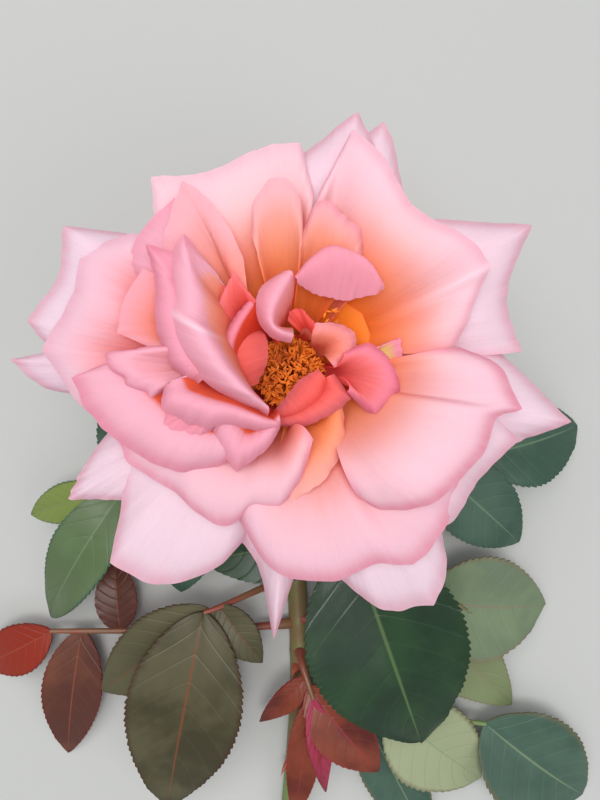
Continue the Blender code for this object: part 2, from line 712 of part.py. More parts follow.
def make_bloom():
    finish = make_finish("petal")
    core = turned_solid(RECEPTACLE, CALYX_SIDES, lambda height: BLOOM_BASE + height)
    bloom = add_object("bloom", core, finish)
    petals = []
    spread = {name: (whorl, 1.0, crest, rim) for name, (whorl, crest, rim) in PETALS.items()}
    for name, shape in {**spread, **FOLDED_PETALS}.items():
        petals.append(add_object(name, sheet_solid(petal_rows(*shape), PETAL_THICK), finish))
    fuse(bloom, petals, "MANIFOLD")  # the exact solver leaves open edges where so many blades cross
    return bloom


def make_stamens():
    body = turned_solid(STAMENS, STAMEN_SIDES, lambda height: BLOOM_BASE + STAMEN_FROM + height)
    stamens = add_object("stamens", body, make_finish("stamen"))
    shade_round(stamens)
    return stamens


def sepal_rows(bearing):
    """A slender sepal that leaves the top of the hip, turns out and hangs down."""
    out = polar(bearing, 1.0, 0.0)
    side = Vector((-out.y, out.x, 0.0))
    sunk, under = SEPAL_ROOT
    foot = out * (HIP[2][0] - sunk) + Vector((0, 0, BLOOM_BASE - under))
    over = foot + out * (SEPAL_OVER[0] * SEPAL_LONG) + Vector((0, 0, SEPAL_OVER[1]))
    tip = foot + out * (SEPAL_TIP[0] * SEPAL_LONG) - Vector((0, 0, SEPAL_TIP[1] * SEPAL_LONG))
    rows = []
    for t in SEPAL_STEPS:
        spine = bezier(foot, foot.lerp(over, 0.7), over, tip, t)
        half = SEPAL_WIDE / 2 * max(SEPAL_POINT, (1 - t) ** SEPAL_TAPER)
        rows.append([spine + side * (half * s) - Vector((0, 0, SEPAL_KEEL * abs(s))) for s in (-1, 0, 1)])
    return rows


def make_calyx():
    finish = make_finish("calyx")
    body = turned_solid(HIP, CALYX_SIDES, lambda depth: BLOOM_BASE - depth)
    calyx = add_object("calyx", body, finish)
    sepals = []
    for k in range(SEPALS):
        rows = sepal_rows(SEPAL_FIRST + 360 / SEPALS * k)
        sepals.append(add_object(f"sepal_{k}", sheet_solid(rows, SEPAL_THICK), finish))
    fuse(calyx, sepals)
    shade_round(calyx)
    return calyx


def stem_centre(distance):
    """The middle of the stem lying on the floor, at a distance from the bloom's axis."""
    along = (distance - NECK_BEND) / (STEM_END - NECK_BEND)
    sway = STEM_SWAY * math.sin(math.pi * along) ** 2
    return Vector((sway, -distance, stem_radius(distance)))


def stem_radius(distance):
    along = max(0.0, (distance - NECK_BEND) / (STEM_END - NECK_BEND))
    return NECK_THIN + (STEM_THICK - NECK_THIN) * (STEM_START + (1 - STEM_START) * along)


def make_neck(finish):
    """The flower stalk: a quarter bend from under the hip to the stem on the floor."""
    end = stem_centre(NECK_BEND)
    centres = []
    radii = []
    for k in range(NECK_STEPS + 1):
        share = k / NECK_STEPS
        angle = math.pi / 2 * share
        fall = (NECK_TOP - end.z) * math.sin(angle)
        centres.append(Vector((0.0, -NECK_BEND * (1 - math.cos(angle)), NECK_TOP - fall)))
        radii.append(NECK_THIN + (stem_radius(NECK_BEND) - NECK_THIN) * share)
    neck = add_object("neck", tube_solid(centres, radii, STEM_SIDES), finish)
    shade_round(neck)
    return neck


def make_stem(finish):
    """The stem on the floor, with its prickles, from the neck to the flat cut."""
    centres = []
    radii = []
    first = NECK_BEND + CLEAR
    for k in range(STEM_STEPS + 1):
        distance = first + (STEM_END - CUT_STRAIGHT - first) * k / STEM_STEPS
        centres.append(stem_centre(distance))
        radii.append(stem_radius(distance))
    centres.append(centres[-1] - Vector((0, CUT_STRAIGHT, 0)))
    radii.append(radii[-1])
    stem = add_object("stem", tube_solid(centres, radii, STEM_SIDES), finish)
    prickles = []
    for k in range(PRICKLES):
        distance = PRICKLE_FROM + (PRICKLE_TO - PRICKLE_FROM) * k / (PRICKLES - 1)
        lean = PRICKLE_LEAN[k % len(PRICKLE_LEAN)] * (-1 if k % 2 else 1)
        out = Vector((math.sin(math.radians(lean)), 0.0, math.cos(math.radians(lean))))
        root = stem_centre(distance) + out * (stem_radius(distance) - PRICKLE_SUNK)
        away, down = PRICKLE_POINT
        tip = root + (out * away - Vector((0, down, 0))) * PRICKLE_LONG
        line = [root, root.lerp(tip, PRICKLE_MIDDLE), tip]
        prickles.append(add_object(f"prickle_{k}", tube_solid(line, PRICKLE_RADII, 4), finish))
    fuse(stem, prickles)
    shade_round(stem)
    return stem


def leaflet_width(t):
    """Half the width of a leaflet, as a share of its widest, from its foot to its tip."""
    low_down, full = LEAFLET_SHAPE
    return max(LEAFLET_TIP, math.sin(math.pi * min(1.0, t) ** low_down) ** full)


def leaflet_rows(foot, tip, width, rise, roll):
    """A blade folded a little along its midrib, arched from its foot to its tip."""
    middle = foot.lerp(tip, 0.5) + Vector((0, 0, rise * 2))
    rows = []
    for t in LEAFLET_STEPS:
        spine = foot * (1 - t) ** 2 + middle * (2 * t * (1 - t)) + tip * t * t
        along = ((middle - foot) * (1 - t) + (tip - middle) * t).normalized()
        side = along.cross(Vector((0, 0, 1))).normalized()
        up = side.cross(along)
        turn = math.radians(roll) * t
        side_turned = side * math.cos(turn) + up * math.sin(turn)
        up_turned = up * math.cos(turn) - side * math.sin(turn)
        half = width / 2 * leaflet_width(t)
        row = []
        for s in LEAFLET_ACROSS:
            row.append(spine + side_turned * (half * s) + up_turned * (LEAFLET_KEEL * half * abs(s)))
        rows.append(row)
    return rows


def rachis_centres(leaf):
    centre = stem_centre(leaf["node"])
    side = leaf["side"]
    out = Vector((side, 0, RACHIS_LEAN if side else 1.0)).normalized()
    start = centre + out * (stem_radius(leaf["node"]) + CLEAR + RACHIS_GAP)
    end = Vector(leaf["end"])
    lift = Vector((0, 0, leaf["rise"]))
    leaving = start + out * (end - start).length * RACHIS_PULL + lift
    arriving = end.lerp(start, RACHIS_PULL) + lift
    return [bezier(start, leaving, arriving, end, k / RACHIS_STEPS) for k in range(RACHIS_STEPS + 1)]


def place_on(centres, share):
    """A point a share of the way along a line of points."""
    place = share * (len(centres) - 1)
    k = min(int(place), len(centres) - 2)
    return centres[k].lerp(centres[k + 1], place - k)


def make_leaf(name, leaf, finish):
    centres = rachis_centres(leaf)
    thinning = (RACHIS_THIN - RACHIS_THICK) / RACHIS_STEPS
    radii = [RACHIS_THICK + thinning * k for k in range(RACHIS_STEPS + 1)]
    rachis = add_object(name, tube_solid(centres, radii, RACHIS_SIDES), finish)
    blades = []
    for k, (share, tip, width, rise, roll) in enumerate(leaf["leaflets"]):
        tip = Vector(tip)
        foot = place_on(centres, share)
        foot = foot - (tip - foot).normalized() * LEAFLET_SUNK
        thickness = max(LEAFLET_THICK, LEAFLET_LEAST * (tip - foot).length)
        rows = leaflet_rows(foot, tip, width, rise, roll)
        blades.append(add_object(f"{name}_{k}", sheet_solid(rows, thickness), finish))
    fuse(rachis, blades)
    return rachis


def settle(things):
    """Moves every mesh so that the origin is under the middle of their box, at its lowest point."""
    points = [vertex.co for thing in things for vertex in thing.data.vertices]
    low = Vector([min(point[i] for point in points) for i in range(3)])
    high = Vector([max(point[i] for point in points) for i in range(3)])
    middle = Vector(((low.x + high.x) / 2, (low.y + high.y) / 2, low.z))
    for thing in things:
        for vertex in thing.data.vertices:
            vertex.co = vertex.co - middle


def main():
    clear_scene()
    make_bloom()
    make_stamens()
    make_calyx()
    wood = make_finish("stem")
    make_neck(wood)
    make_stem(wood)
    finishes = {name: make_finish(name) for name in ("green_leaf", "pale_leaf", "bronze_leaf", "red_leaf")}
    for name, leaf in LEAVES.items():
        make_leaf(name, leaf, finishes[leaf["finish"]])
    settle([thing for thing in bpy.data.objects if thing.type == "MESH"])


main()
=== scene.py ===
"""The looks of a cut rose shoot: one open bloom on a bent neck, over its lying stem and leaves."""

import math
import random

import bpy
import numpy as np
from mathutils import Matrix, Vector, noise


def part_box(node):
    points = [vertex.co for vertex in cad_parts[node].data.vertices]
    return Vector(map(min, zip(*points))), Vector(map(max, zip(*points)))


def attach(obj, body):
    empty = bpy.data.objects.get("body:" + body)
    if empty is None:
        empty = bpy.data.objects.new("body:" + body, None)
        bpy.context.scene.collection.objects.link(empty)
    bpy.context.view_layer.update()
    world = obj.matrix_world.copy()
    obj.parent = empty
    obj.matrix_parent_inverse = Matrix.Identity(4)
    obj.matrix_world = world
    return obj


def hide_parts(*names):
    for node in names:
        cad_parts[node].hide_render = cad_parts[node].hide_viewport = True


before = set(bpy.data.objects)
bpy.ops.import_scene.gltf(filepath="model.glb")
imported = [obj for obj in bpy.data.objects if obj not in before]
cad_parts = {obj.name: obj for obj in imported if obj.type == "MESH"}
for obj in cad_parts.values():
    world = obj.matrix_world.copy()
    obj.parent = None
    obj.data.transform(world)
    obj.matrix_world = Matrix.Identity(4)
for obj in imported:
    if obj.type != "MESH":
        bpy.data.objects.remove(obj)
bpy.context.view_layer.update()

MM = 0.001

# The same sizes as the solids, in millimetres, with the bloom's axis at x = y = 0
BLOOM_BASE = 40.0
WHORLS = {
    "guard": {"radius": 8.0, "height": 1.6, "out": 12.0, "up": 13.0},
    "outer": {"radius": 7.2, "height": 3.2, "out": 12.0, "up": 12.0},
    "inner": {"radius": 6.4, "height": 4.6, "out": 8.0, "up": 12.0},
    "heart": {"radius": 6.4, "height": 5.4, "out": 4.4, "up": 10.0},
}
CLAW_LEAST = 8.0  # degrees round its whorl that a petal's claw takes up, at least and at most,
CLAW_SHARE = 0.45  # and as a share of the petal's own span
CLAW_MOST = 62.0
CREST_BEFORE = 0.45  # how far a petal runs straight before and after its crest
CREST_AFTER = 0.55
PETAL_CREST = 0.6  # the crest's share of the way along a petal
REACH_OF_CREST = 50.0  # the reach at which a spreading petal's crest has its full rise

# A petal that spreads: whorl, (share of its reach that rolls over, how far its crest is over its rim),
# and its rim, point by point, as (bearing, reach, height)
PETALS = {
    "guard_right": (
        "guard", (0.34, 6),
        ((5, 60, 15), (15, 57, 19), (23, 60, 19), (31, 72, 17), (46, 52, 22)),
    ),
    "guard_right_low": ("guard", (0.36, 6), ((-27, 53, 16), (-18, 60, 15), (-10, 74, 14), (5, 54, 17))),
    "guard_low_right": (
        "guard", (0.34, 6),
        ((-53, 52, 18), (-43, 55, 20), (-31, 54, 21), (-17, 60, 18), (-4, 50, 22)),
    ),
    "guard_low": (
        "guard", (0.36, 6),
        ((-88, 48, 15), (-77, 54, 13), (-68, 66.5, 12), (-58, 71.5, 11), (-51, 65, 13), (-42, 50, 16)),
    ),
    "guard_spike": (
        "guard", (0.38, 7),
        ((-108, 44, 13), (-99, 51, 10), (-93, 72, 6), (-88, 53, 10), (-80, 44, 13)),
    ),
    "guard_low_left": (
        "guard", (0.36, 4),
        ((199, 46, 15), (216, 52, 17), (227, 65.5, 17), (238, 63.5, 16), (249, 54, 16), (257, 42, 14)),
    ),
    "guard_left_low": ("guard", (0.32, 5), ((198, 48, 14), (205, 58, 14), (210, 66, 12), (219, 52, 14))),
    "guard_left": (
        "guard", (0.3, 5),
        ((137, 49, 21), (147, 66, 21), (157, 61, 22), (169, 66, 20), (177, 55, 21)),
    ),
    "guard_far_left": ("guard", (0.3, 5), ((173, 54, 14), (177.5, 73, 10), (183.5, 64, 10), (187, 50, 13))),
    "guard_top": (
        "guard", (0.3, 5),
        ((58, 53, 23), (66, 56, 24), (75, 66, 22), (86, 53, 24), (97, 47, 25)),
    ),
    "guard_top_right": (
        "guard", (0.3, 5),
        ((48, 48, 18), (58, 54, 18), (65, 63, 17), (69, 68, 16), (80, 53, 17)),
    ),
    "outer_left": (
        "outer", (0.3, 3),
        ((138, 49, 28), (149, 57, 26), (160, 54, 28), (175, 59, 25), (189, 50, 26), (200, 43, 27)),
    ),
    "outer_top_left": (
        "outer", (0.28, 1.5),
        ((82, 42, 30), (87, 54, 29), (98, 52, 31), (113, 50, 31), (125, 56, 28), (133, 45, 30)),
    ),
    "outer_top_right": (
        "outer", (0.26, 1),
        (
            (8, 40, 29), (18, 45, 31), (28, 54, 29), (38, 51, 33), (52, 47, 34), (66, 54, 32), (75, 59, 29),
            (80, 42, 31),
        ),
    ),
    "outer_right": (
        "outer", (0.36, 4),
        (
            (-60, 36, 25), (-55, 40, 27), (-42, 45, 30.5), (-22, 49.5, 30), (-12, 50, 29.5), (-9, 56.3, 27),
            (2, 49.5, 28.5), (8, 41, 28),
        ),
    ),
    "outer_low": (
        "outer", (0.36, 5),
        (
            (-110, 37, 22), (-94, 49, 21), (-79, 53, 20), (-64, 52, 22), (-57, 57, 20), (-45, 54, 22),
            (-28, 49, 25),
        ),
    ),
    "inner_cup": (
        "inner", (0.1, 0),
        ((-14, 20, 18.5), (8, 21.5, 19.5), (30, 22.5, 20.5), (52, 24, 22), (76, 24, 23), (98, 21, 24)),
    ),
    "inner_peach": (
        "inner", (0.3, 1),
        ((263, 29, 24), (272, 31, 24), (291, 26.5, 24), (310, 21, 23), (330, 15, 21)),
    ),
    "inner_top": (
        "inner", (0.22, 0.2),
        ((84, 32, 32.5), (86, 39, 33), (90, 43.8, 33), (96, 44, 33), (101, 40, 33), (104.5, 32, 32.5)),
    ),
    "inner_top_right": (
        "inner", (0.2, 0.8),
        ((57, 31, 32), (63.5, 36.5, 33), (70, 37.5, 34), (76, 40, 33.5), (80.5, 39, 33), (84.5, 32, 31.5)),
    ),
}

# A petal that folds or curls: whorl, how steeply it comes up to its crest, then its crest and its rim, point
# by point, as (across, up, height)
FOLDED_PETALS = {
    "inner_top_left": (
        "inner", 1.2,
        (
            (-10.5, 14.5, 25.5), (-13, 22.5, 30), (-16.5, 29.5, 32), (-19, 33.5, 33), (-22.5, 29, 33),
            (-23.5, 22, 32),
        ),
        (
            (-9.4, 18.5, 28.5), (-11.2, 28.5, 32.8), (-17, 38, 34), (-24.1, 43.8, 33), (-27.5, 33, 33),
            (-29, 25, 32),
        ),
    ),
    "inner_back_left": (
        "inner", 1.0,
        ((-20, 30, 31), (-25, 27, 32), (-28, 22, 31), (-26, 17, 30)),
        ((-26, 40, 32), (-34, 32.5, 31), (-37, 25.5, 30), (-33, 20, 30)),
    ),
    "inner_left": (
        "inner", 1.0,
        ((-26, 20, 31.5), (-29.5, 14, 32), (-31, 9, 31.5), (-25, 5, 31)),
        ((-33, 23.5, 33), (-37.3, 16.5, 33), (-39, 9, 32.5), (-30, 5, 32)),
    ),
    "inner_fold_outer": (
        "inner", 2.0,
        (
            (-23, 24, 34), (-25, 21, 35.5), (-24, 17, 36.5), (-23.5, 11, 37), (-21.5, 4.5, 36.5),
            (-19.5, 1, 35.5), (-17, 0, 34),
        ),
        (
            (-26, 27, 35), (-32.2, 29, 34), (-30, 21, 34), (-30, 12, 34), (-28.4, 5, 33),
            (-24.5, -0.6, 32.5), (-20.6, -2.8, 32.5),
        ),
    ),
    "inner_fold": (
        "inner", 3.2,
        (
            (-14.8, 20, 32), (-17.2, 22.6, 35.5), (-20, 21.5, 38.5), (-18.8, 17, 39.5), (-18.2, 11.5, 40),
            (-15.5, 6.3, 40), (-12.3, 0.9, 39), (-8.2, -4.1, 37.5), (-6.2, -6.2, 36), (-4.8, -7.6, 35),
        ),
        (
            (-16.4, 22.6, 35), (-19, 25.4, 37), (-23.4, 30.9, 38), (-26.8, 24, 36), (-27.5, 18, 35.5),
            (-27, 11.5, 36), (-25, 4.8, 35.5), (-19.4, -1.5, 34.5), (-11.8, -6.6, 33.5), (-4.6, -10, 32.5),
        ),
    ),
    "inner_ragged": (
        "inner", 1.4,
        (
            (-25, 5, 34.5), (-30, 4.5, 35.5), (-34, 2.5, 35.5), (-33, 0, 35.5), (-30.5, -1.5, 35),
            (-27.5, -2.5, 34.5), (-25, -1.5, 34), (-21, -0.5, 34),
        ),
        (
            (-29, 6.2, 33), (-35.5, 5.2, 34), (-43.4, 4.3, 33), (-38.8, -1, 33), (-35.4, -4.4, 32.5),
            (-31.9, -7, 31.5), (-28.4, -4, 32.5), (-25, -1.8, 33),
        ),
    ),
    "inner_rolled": (
        "inner", 2.2,
        (
            (-24, -1.5, 35), (-22.5, -4, 36), (-19.8, -5.2, 36.5), (-16.5, -6.3, 36.5), (-12, -7.6, 36),
            (-8, -9.3, 35), (-4.8, -10.6, 34), (-3, -11.2, 33),
        ),
        (
            (-28, -3.6, 34), (-28.6, -7.5, 33), (-25.5, -10.8, 32.5), (-20.5, -12.6, 32.5),
            (-15, -12.4, 32.5), (-9.5, -13, 31.5), (-5, -14, 30.5), (-2, -13.2, 30.5),
        ),
    ),
    "inner_tucked": (
        "inner", 1.6,
        ((-23, -7, 32), (-24.5, -9.5, 32.5), (-22.5, -11, 32), (-19, -11, 32), (-15, -9, 31.5)),
        ((-31.5, -8, 30), (-31.5, -13.2, 29.5), (-27, -17.4, 29), (-22, -17.4, 29), (-17.5, -13.8, 30.5)),
    ),
    "inner_triangle": (
        "inner", 1.4,
        (
            (-13, -9, 32.5), (-11.5, -12, 32), (-9.5, -14.5, 31.5), (-6.5, -13.5, 31.5),
            (-3.6, -11.5, 31.5), (-2, -10, 31),
        ),
        (
            (-17.4, -13.5, 31), (-15.4, -18.8, 30), (-12.1, -23.3, 28), (-8.4, -20.6, 29),
            (-4.6, -17.4, 30), (-2, -13, 30),
        ),
    ),
    "rim_low_left": (
        "outer", 1.3,
        (
            (-29, 3, 30), (-36, 0.5, 31), (-33, -4, 32), (-29, -8, 32), (-24, -12, 31.5), (-18.5, -14, 31),
            (-14, -14, 30), (-9, -12.5, 28),
        ),
        (
            (-41, 2.5, 29), (-51, -1.4, 28), (-47, -9, 28.5), (-41.5, -14.7, 28.5), (-32, -21.2, 28),
            (-24.3, -23.4, 27.5), (-17.7, -22.6, 27.5), (-12.5, -20.2, 27.5),
        ),
    ),
    "outer_low_left": (
        "outer", 1.1,
        (
            (-30, -10, 25), (-29, -15, 26), (-24, -19, 27), (-18, -23, 27.5), (-12, -25, 27.5),
            (-7, -24, 28), (-2, -23, 28), (1.5, -18, 28), (3, -12.5, 27),
        ),
        (
            (-41, -15, 24), (-38.5, -22, 24), (-27.6, -28.6, 24.5), (-19, -36, 23.5), (-14.3, -37.2, 23),
            (-9, -33.2, 24), (-2.5, -33.5, 24), (2.9, -25.5, 26), (5.8, -15.8, 28),
        ),
    ),
    "inner_hood": (
        "inner", 1.5,
        (
            (1.8, 21.4, 34), (4.7, 25, 35.5), (8.5, 27.8, 36), (12.6, 27.4, 36), (17, 25, 35.5),
            (21.4, 19.6, 34),
        ),
        (
            (2.2, 20.4, 33), (5.4, 18.4, 32), (9, 17.2, 31.5), (12.8, 16.8, 31.5), (17, 17, 32),
            (21.8, 18.6, 33),
        ),
    ),
    "heart_curl": (
        "heart", 3.0,
        (
            (1.1, 22.2, 33.5), (-1.1, 18, 34), (-3, 14, 34), (-3.2, 11, 33.5), (-1.1, 9.4, 32.5),
            (1.2, 8.9, 31),
        ),
        (
            (-1.4, 22.8, 31.5), (-6, 19.7, 31), (-7.3, 15.6, 30.5), (-6.4, 11.2, 30), (-3.2, 7.9, 29.5),
            (0.8, 7, 29),
        ),
    ),
    "heart_blade": (
        "heart", 1.2,
        ((-13.5, 6, 25), (-13, 12, 28), (-11.8, 16.5, 30), (-10, 17, 30), (-8, 14, 28)),
        ((-17.4, 8.5, 29), (-15.8, 16, 32), (-12.2, 23.2, 33.5), (-10.6, 20.3, 33), (-7.4, 16.6, 31)),
    ),
    "heart_tip": (
        "heart", 1.0,
        ((-14.5, 9, 24), (-14, 14, 27), (-12.4, 15, 27)),
        ((-17, 14, 29), (-15.7, 20.8, 31), (-13.4, 18.6, 30)),
    ),
    "heart_deep": (
        "heart", 1.2,
        ((-7.5, 12.5, 20), (-5.5, 13, 21), (-4, 10.5, 21), (-3.4, 7.6, 20)),
        ((-10.5, 16, 23), (-7, 17.8, 25), (-3.6, 13, 25), (-2.2, 7.2, 22)),
    ),
    "heart_strip": (
        "heart", 2.5,
        ((-8, 15.6, 31), (-10.8, 11, 31.5), (-12.6, 6.4, 31), (-12.8, 2.6, 29)),
        ((-9, 16.6, 30), (-12.8, 12.2, 29), (-15.6, 6.6, 28), (-14.6, 1.8, 27)),
    ),
    "heart_round": (
        "heart", 1.2,
        ((-14.4, 11, 24), (-14.6, 6.5, 26.5), (-13.4, 1.5, 26.5), (-10.6, -3.6, 23.5)),
        ((-10.6, 11.8, 23), (-5.6, 8.9, 24.5), (-4.9, 3.6, 25), (-7.4, -2.6, 23)),
    ),
    "heart_top_left": (
        "heart", 1.0,
        ((3, 9.5, 24), (3.6, 10.5, 25.5), (4.8, 10.4, 27), (6, 8.6, 27)),
        ((0, 12.2, 27), (0.4, 14.4, 28), (3, 14.8, 29), (6, 11.6, 30)),
    ),
    "heart_top_right": (
        "heart", 1.2,
        ((5.6, 8.4, 28), (8.6, 8.4, 27.5), (11.5, 7.4, 27), (11.5, 5, 27), (9.6, 3, 26)),
        ((6.2, 11.4, 29), (11.8, 11.4, 27), (15.8, 9.4, 26), (16, 5.4, 25.5), (11, 1.2, 26)),
    ),
    "heart_right": (
        "heart", 1.0,
        ((13, 3.4, 28), (16.6, 3.8, 29), (20, 1.5, 29), (20.8, -2, 28.5), (19, -6.4, 27), (14.6, -3.4, 26)),
        (
            (13.4, 4.6, 27), (19, 6.8, 27.5), (24.6, 3, 26), (26.8, -4.2, 25), (21.2, -11.6, 23),
            (14.2, -4.6, 25),
        ),
    ),
    "heart_spike": (
        "heart", 1.0,
        ((16.5, 3.5, 24), (20.5, 5, 25.5), (22, 1.8, 25.5), (21.4, -1, 25)),
        ((20.4, 5.6, 27), (26.4, 8, 28.5), (27.2, 2.4, 27.5), (26.6, -1.6, 26)),
    ),
    "heart_low": (
        "heart", 1.4,
        ((-3.6, -11.3, 21), (1.5, -9.6, 24.5), (6.4, -6, 27), (8.8, -1.6, 27.5)),
        ((-3.4, -9.8, 21), (-0.6, -6.4, 23), (3, -2, 25), (7.4, 0.6, 26.5)),
    ),
    "heart_low_right": (
        "heart", 1.2,
        ((9, -1.4, 26.5), (9.4, -4, 27), (7.2, -7, 26.5), (2, -10.2, 24), (-3.2, -11.6, 21)),
        ((11, -0.6, 25), (15.2, -6.4, 23.5), (11.4, -9.6, 23), (4, -13, 21.5), (-2.8, -13.2, 19.5)),
    ),
}

# How a petal looks: warm = how far up it the claw's warm colour climbs, near = how much the heart warms it
# (partly its own orange and partly painted glow and warm shade), coral = how red that warmth is, inside = how
# red its wall under the crest is (partly its own red and partly painted glow and shade), cool = how lavender
# it is, deep = how pink it is, green = how green its base is, rim = how much its rim is tinted, roll, ruffle
# and scallop = millimetres at its rim, crease = (share across at which it creases, millimetres that it steps
# down there), with a painted highlight line along the crease
PLAIN_LOOKS = {
    "cool": 0.0, "inside": 0.0, "green": 0.0, "rim": 0.15,
    "roll": 0.3, "ruffle": 0.6, "scallop": 0.0, "crease": (0.0, 0.0),
}
WHORL_LOOKS = {
    "guard": {"warm": 0.5, "near": 0.35, "coral": 0.1, "cool": 0.7, "deep": 0.1, "rim": 0.5, "roll": 0.6},
    "outer": {"warm": 0.8, "near": 0.5, "coral": 0.25, "cool": 0.3, "deep": 0.2, "rim": 0.5, "roll": 0.6},
    "inner": {"warm": 0.8, "near": 0.3, "coral": 0.5, "deep": 0.4, "rim": 0.3},
    "heart": {"warm": 1.1, "near": 0.3, "coral": 1.0, "deep": 0.6, "ruffle": 0.3},
}
PETAL_LOOKS = {
    "guard_left": {"cool": 1.0, "deep": 0.3},
    "guard_far_left": {"cool": 1.0, "deep": 0.5},
    "guard_low": {"deep": 0.0, "warm": 0.3, "near": 0.0},
    "guard_low_right": {"deep": 0.0, "warm": 0.3, "near": 0.0},
    "guard_right_low": {"deep": 0.0, "warm": 0.3, "near": 0.0},
    "guard_left_low": {"deep": 0.0, "near": 0.0},
    "outer_left": {
        "cool": 0.8, "warm": 0.95, "near": 0.1, "coral": 0.6, "deep": 0.35, "rim": 0.3, "roll": 0.2,
    },
    "outer_top_left": {
        "warm": 1.0, "near": 0.6, "coral": 0.15, "cool": 0.15, "deep": 0.05, "rim": 0.15, "roll": 0.2,
    },
    "outer_top_right": {
        "warm": 0.95, "coral": 0.2, "near": 0.8, "cool": 0.1, "deep": 0.05, "rim": 0.3,
        "crease": (0.26, 1.6),
    },
    "outer_right": {"warm": 0.8, "coral": 0.1, "near": 0.75, "deep": 0.2, "rim": 0.9, "roll": 1.0},
    # outer_low's coral is partly painted warm shade, in the gap beside outer_right
    "outer_low": {
        "warm": 0.8, "near": 0.25, "coral": 0.3, "deep": 0.15, "cool": 0.3, "rim": 0.8, "roll": 0.4,
    },
    "outer_low_left": {"warm": 0.85, "coral": 0.3, "rim": 0.8, "roll": 0.3},
    "rim_low_left": {
        "warm": 0.7, "near": 0.0, "coral": 0.6, "deep": 0.45, "inside": 1.8, "rim": 0.8, "roll": 0.3,
    },
    "inner_top": {
        "warm": 1.2, "coral": 0.05, "deep": 0.35, "near": 0.4, "rim": 0.0, "roll": 0.0, "ruffle": 0.2,
    },
    "inner_top_right": {"warm": 1.1, "coral": 0.1, "deep": 0.5, "near": 0.4},
    "inner_top_left": {"warm": 1.3, "coral": 0.2, "deep": 0.35, "near": 0.5, "rim": 0.0, "roll": 0.0},
    "inner_left": {"warm": 1.2, "coral": 0.45, "near": 0.0, "rim": 0.0, "roll": 0.0, "ruffle": 0.2},
    "inner_back_left": {"ruffle": 0.2, "deep": 0.7, "cool": 0.3, "near": 0.1},
    "inner_hood": {"warm": 0.8, "near": 0.0, "coral": 0.2, "deep": 0.8, "roll": 0.0, "rim": 0.0},
    "inner_cup": {
        "warm": 3.4, "near": 0.5, "coral": 0.0, "deep": 0.0, "ruffle": 0.1, "rim": 0.0, "roll": 0.0,
    },
    "inner_peach": {"warm": 1.8, "coral": 0.1, "near": 0.3, "deep": 0.0, "rim": 0.0, "roll": 0.0},
    "inner_ragged": {"warm": 0.7, "coral": 0.4, "ruffle": 0.8, "scallop": 1.5, "rim": 0.6},
    "inner_fold": {
        "warm": 0.6, "near": 0.0, "deep": 0.45, "cool": 0.15, "inside": 1.0, "ruffle": 0.9,
        "crease": (0.48, 1.6),
    },
    "inner_fold_outer": {"warm": 0.7, "deep": 0.65, "inside": 0.9},
    "inner_rolled": {"warm": 0.6, "deep": 0.6, "cool": 0.1, "inside": 1.7},
    "inner_tucked": {"deep": 0.8, "inside": 1.5},
    "inner_triangle": {"warm": 0.65, "deep": 0.5, "inside": 1.6},
    "heart_curl": {
        "warm": 0.6, "near": 0.0, "coral": 0.1, "deep": 0.75, "cool": 0.15, "inside": 0.5, "ruffle": 0.2,
    },
    "heart_blade": {"warm": 1.6, "deep": 0.5},
    "heart_tip": {"warm": 2.2, "deep": 0.2},
    "heart_deep": {"warm": 3.0, "deep": 0.0, "inside": 1.0},
    "heart_strip": {"warm": 0.9, "near": 0.0, "inside": 2.2},
    "heart_round": {"warm": 1.5, "deep": 0.2, "inside": 1.6},
    "heart_top_left": {"warm": 1.8, "deep": 0.3, "inside": 1.0},
    "heart_top_right": {"warm": 0.95, "coral": 0.5, "deep": 0.3},
    "heart_right": {"warm": 1.1, "near": 0.0, "deep": 1.3},
    "heart_spike": {"warm": 1.0, "near": 0.0, "green": 1.0},
    "heart_low": {"warm": 1.3},
    "heart_low_right": {"warm": 1.2},
}
PETAL_ACROSS = 60
PETAL_ALONG = 44
PETAL_THICK = 0.42
SHARP = 55.0  # the angle over which an edge is left sharp
CORNER = (40.0, 75.0)  # a rim that turns by less than this is smooth, and by more has a corner
ROLL_FROM = 0.84  # how far along the rim starts to roll
RUFFLE_UP = 1.6  # shares of a petal's ruffle: up and down at its rim, out and in there, and in folds
RUFFLE_OUT = 0.9
RUFFLE_FOLDS = 0.7
RIM_WAVES = (5.0, 14.0)  # waves across a petal at its rim, broad and fine, and how strong the fine ones are
FINE_WAVES = 0.6
RIM_CRINKLES = 16.0
FOLDS = (7.0, 17.0)
FINE_FOLDS = 0.5
SCALLOPS = 6
FOLDS_GROW = (0.1, 0.6)  # how far along a petal its folds come in
CREASE_WIDE = 0.04
# how narrow the painted highlight line along a crease is
CREASE_HIGHLIGHT_LINE = 0.014
CREASE_GROWS = (0.3, 0.7)
# how far along a petal the painted crease highlight shows
CREASE_HIGHLIGHT_SHOWS = (0.4, 0.7)
SIDE_EDGE = 0.06  # how far in from its sides a petal is tinted, and how far along that comes in
SIDES_TINTED = (0.35, 0.9)
RECEPTACLE = (8.6, 4.0, 3.6)  # radius, half its height, and how high its middle is

STAMENS = 430
STAMEN_FOOT = (0.6, 4.8)  # reach from the axis: in the middle of the bunch and at its edge
STAMEN_REACH = (0.2, 9.4)
STAMEN_TALL = (8.4, 6.2)
STAMEN_BASE = 7.7
FILAMENT_WIDE = (0.34, 0.22)
ANTHER_TILT = (35, 120)
ANTHER_SIZE = (0.7, 1.0)
TALL_VARIES = 1.1
REACH_VARIES = 0.6
BEARING_VARIES = 14.0
LEAN_VARIES = 0.7
LOOSE_ANTHERS = 8
LOOSE_VARIES = (2.2, 1.6)
LOOSE_AT = (10.6, 13.4, 68.0)
GOLDEN_ANGLE = 137.508
BEAN_SIZE = (1.0, 0.8, 2.6)
BEAN_CURL = 0.42

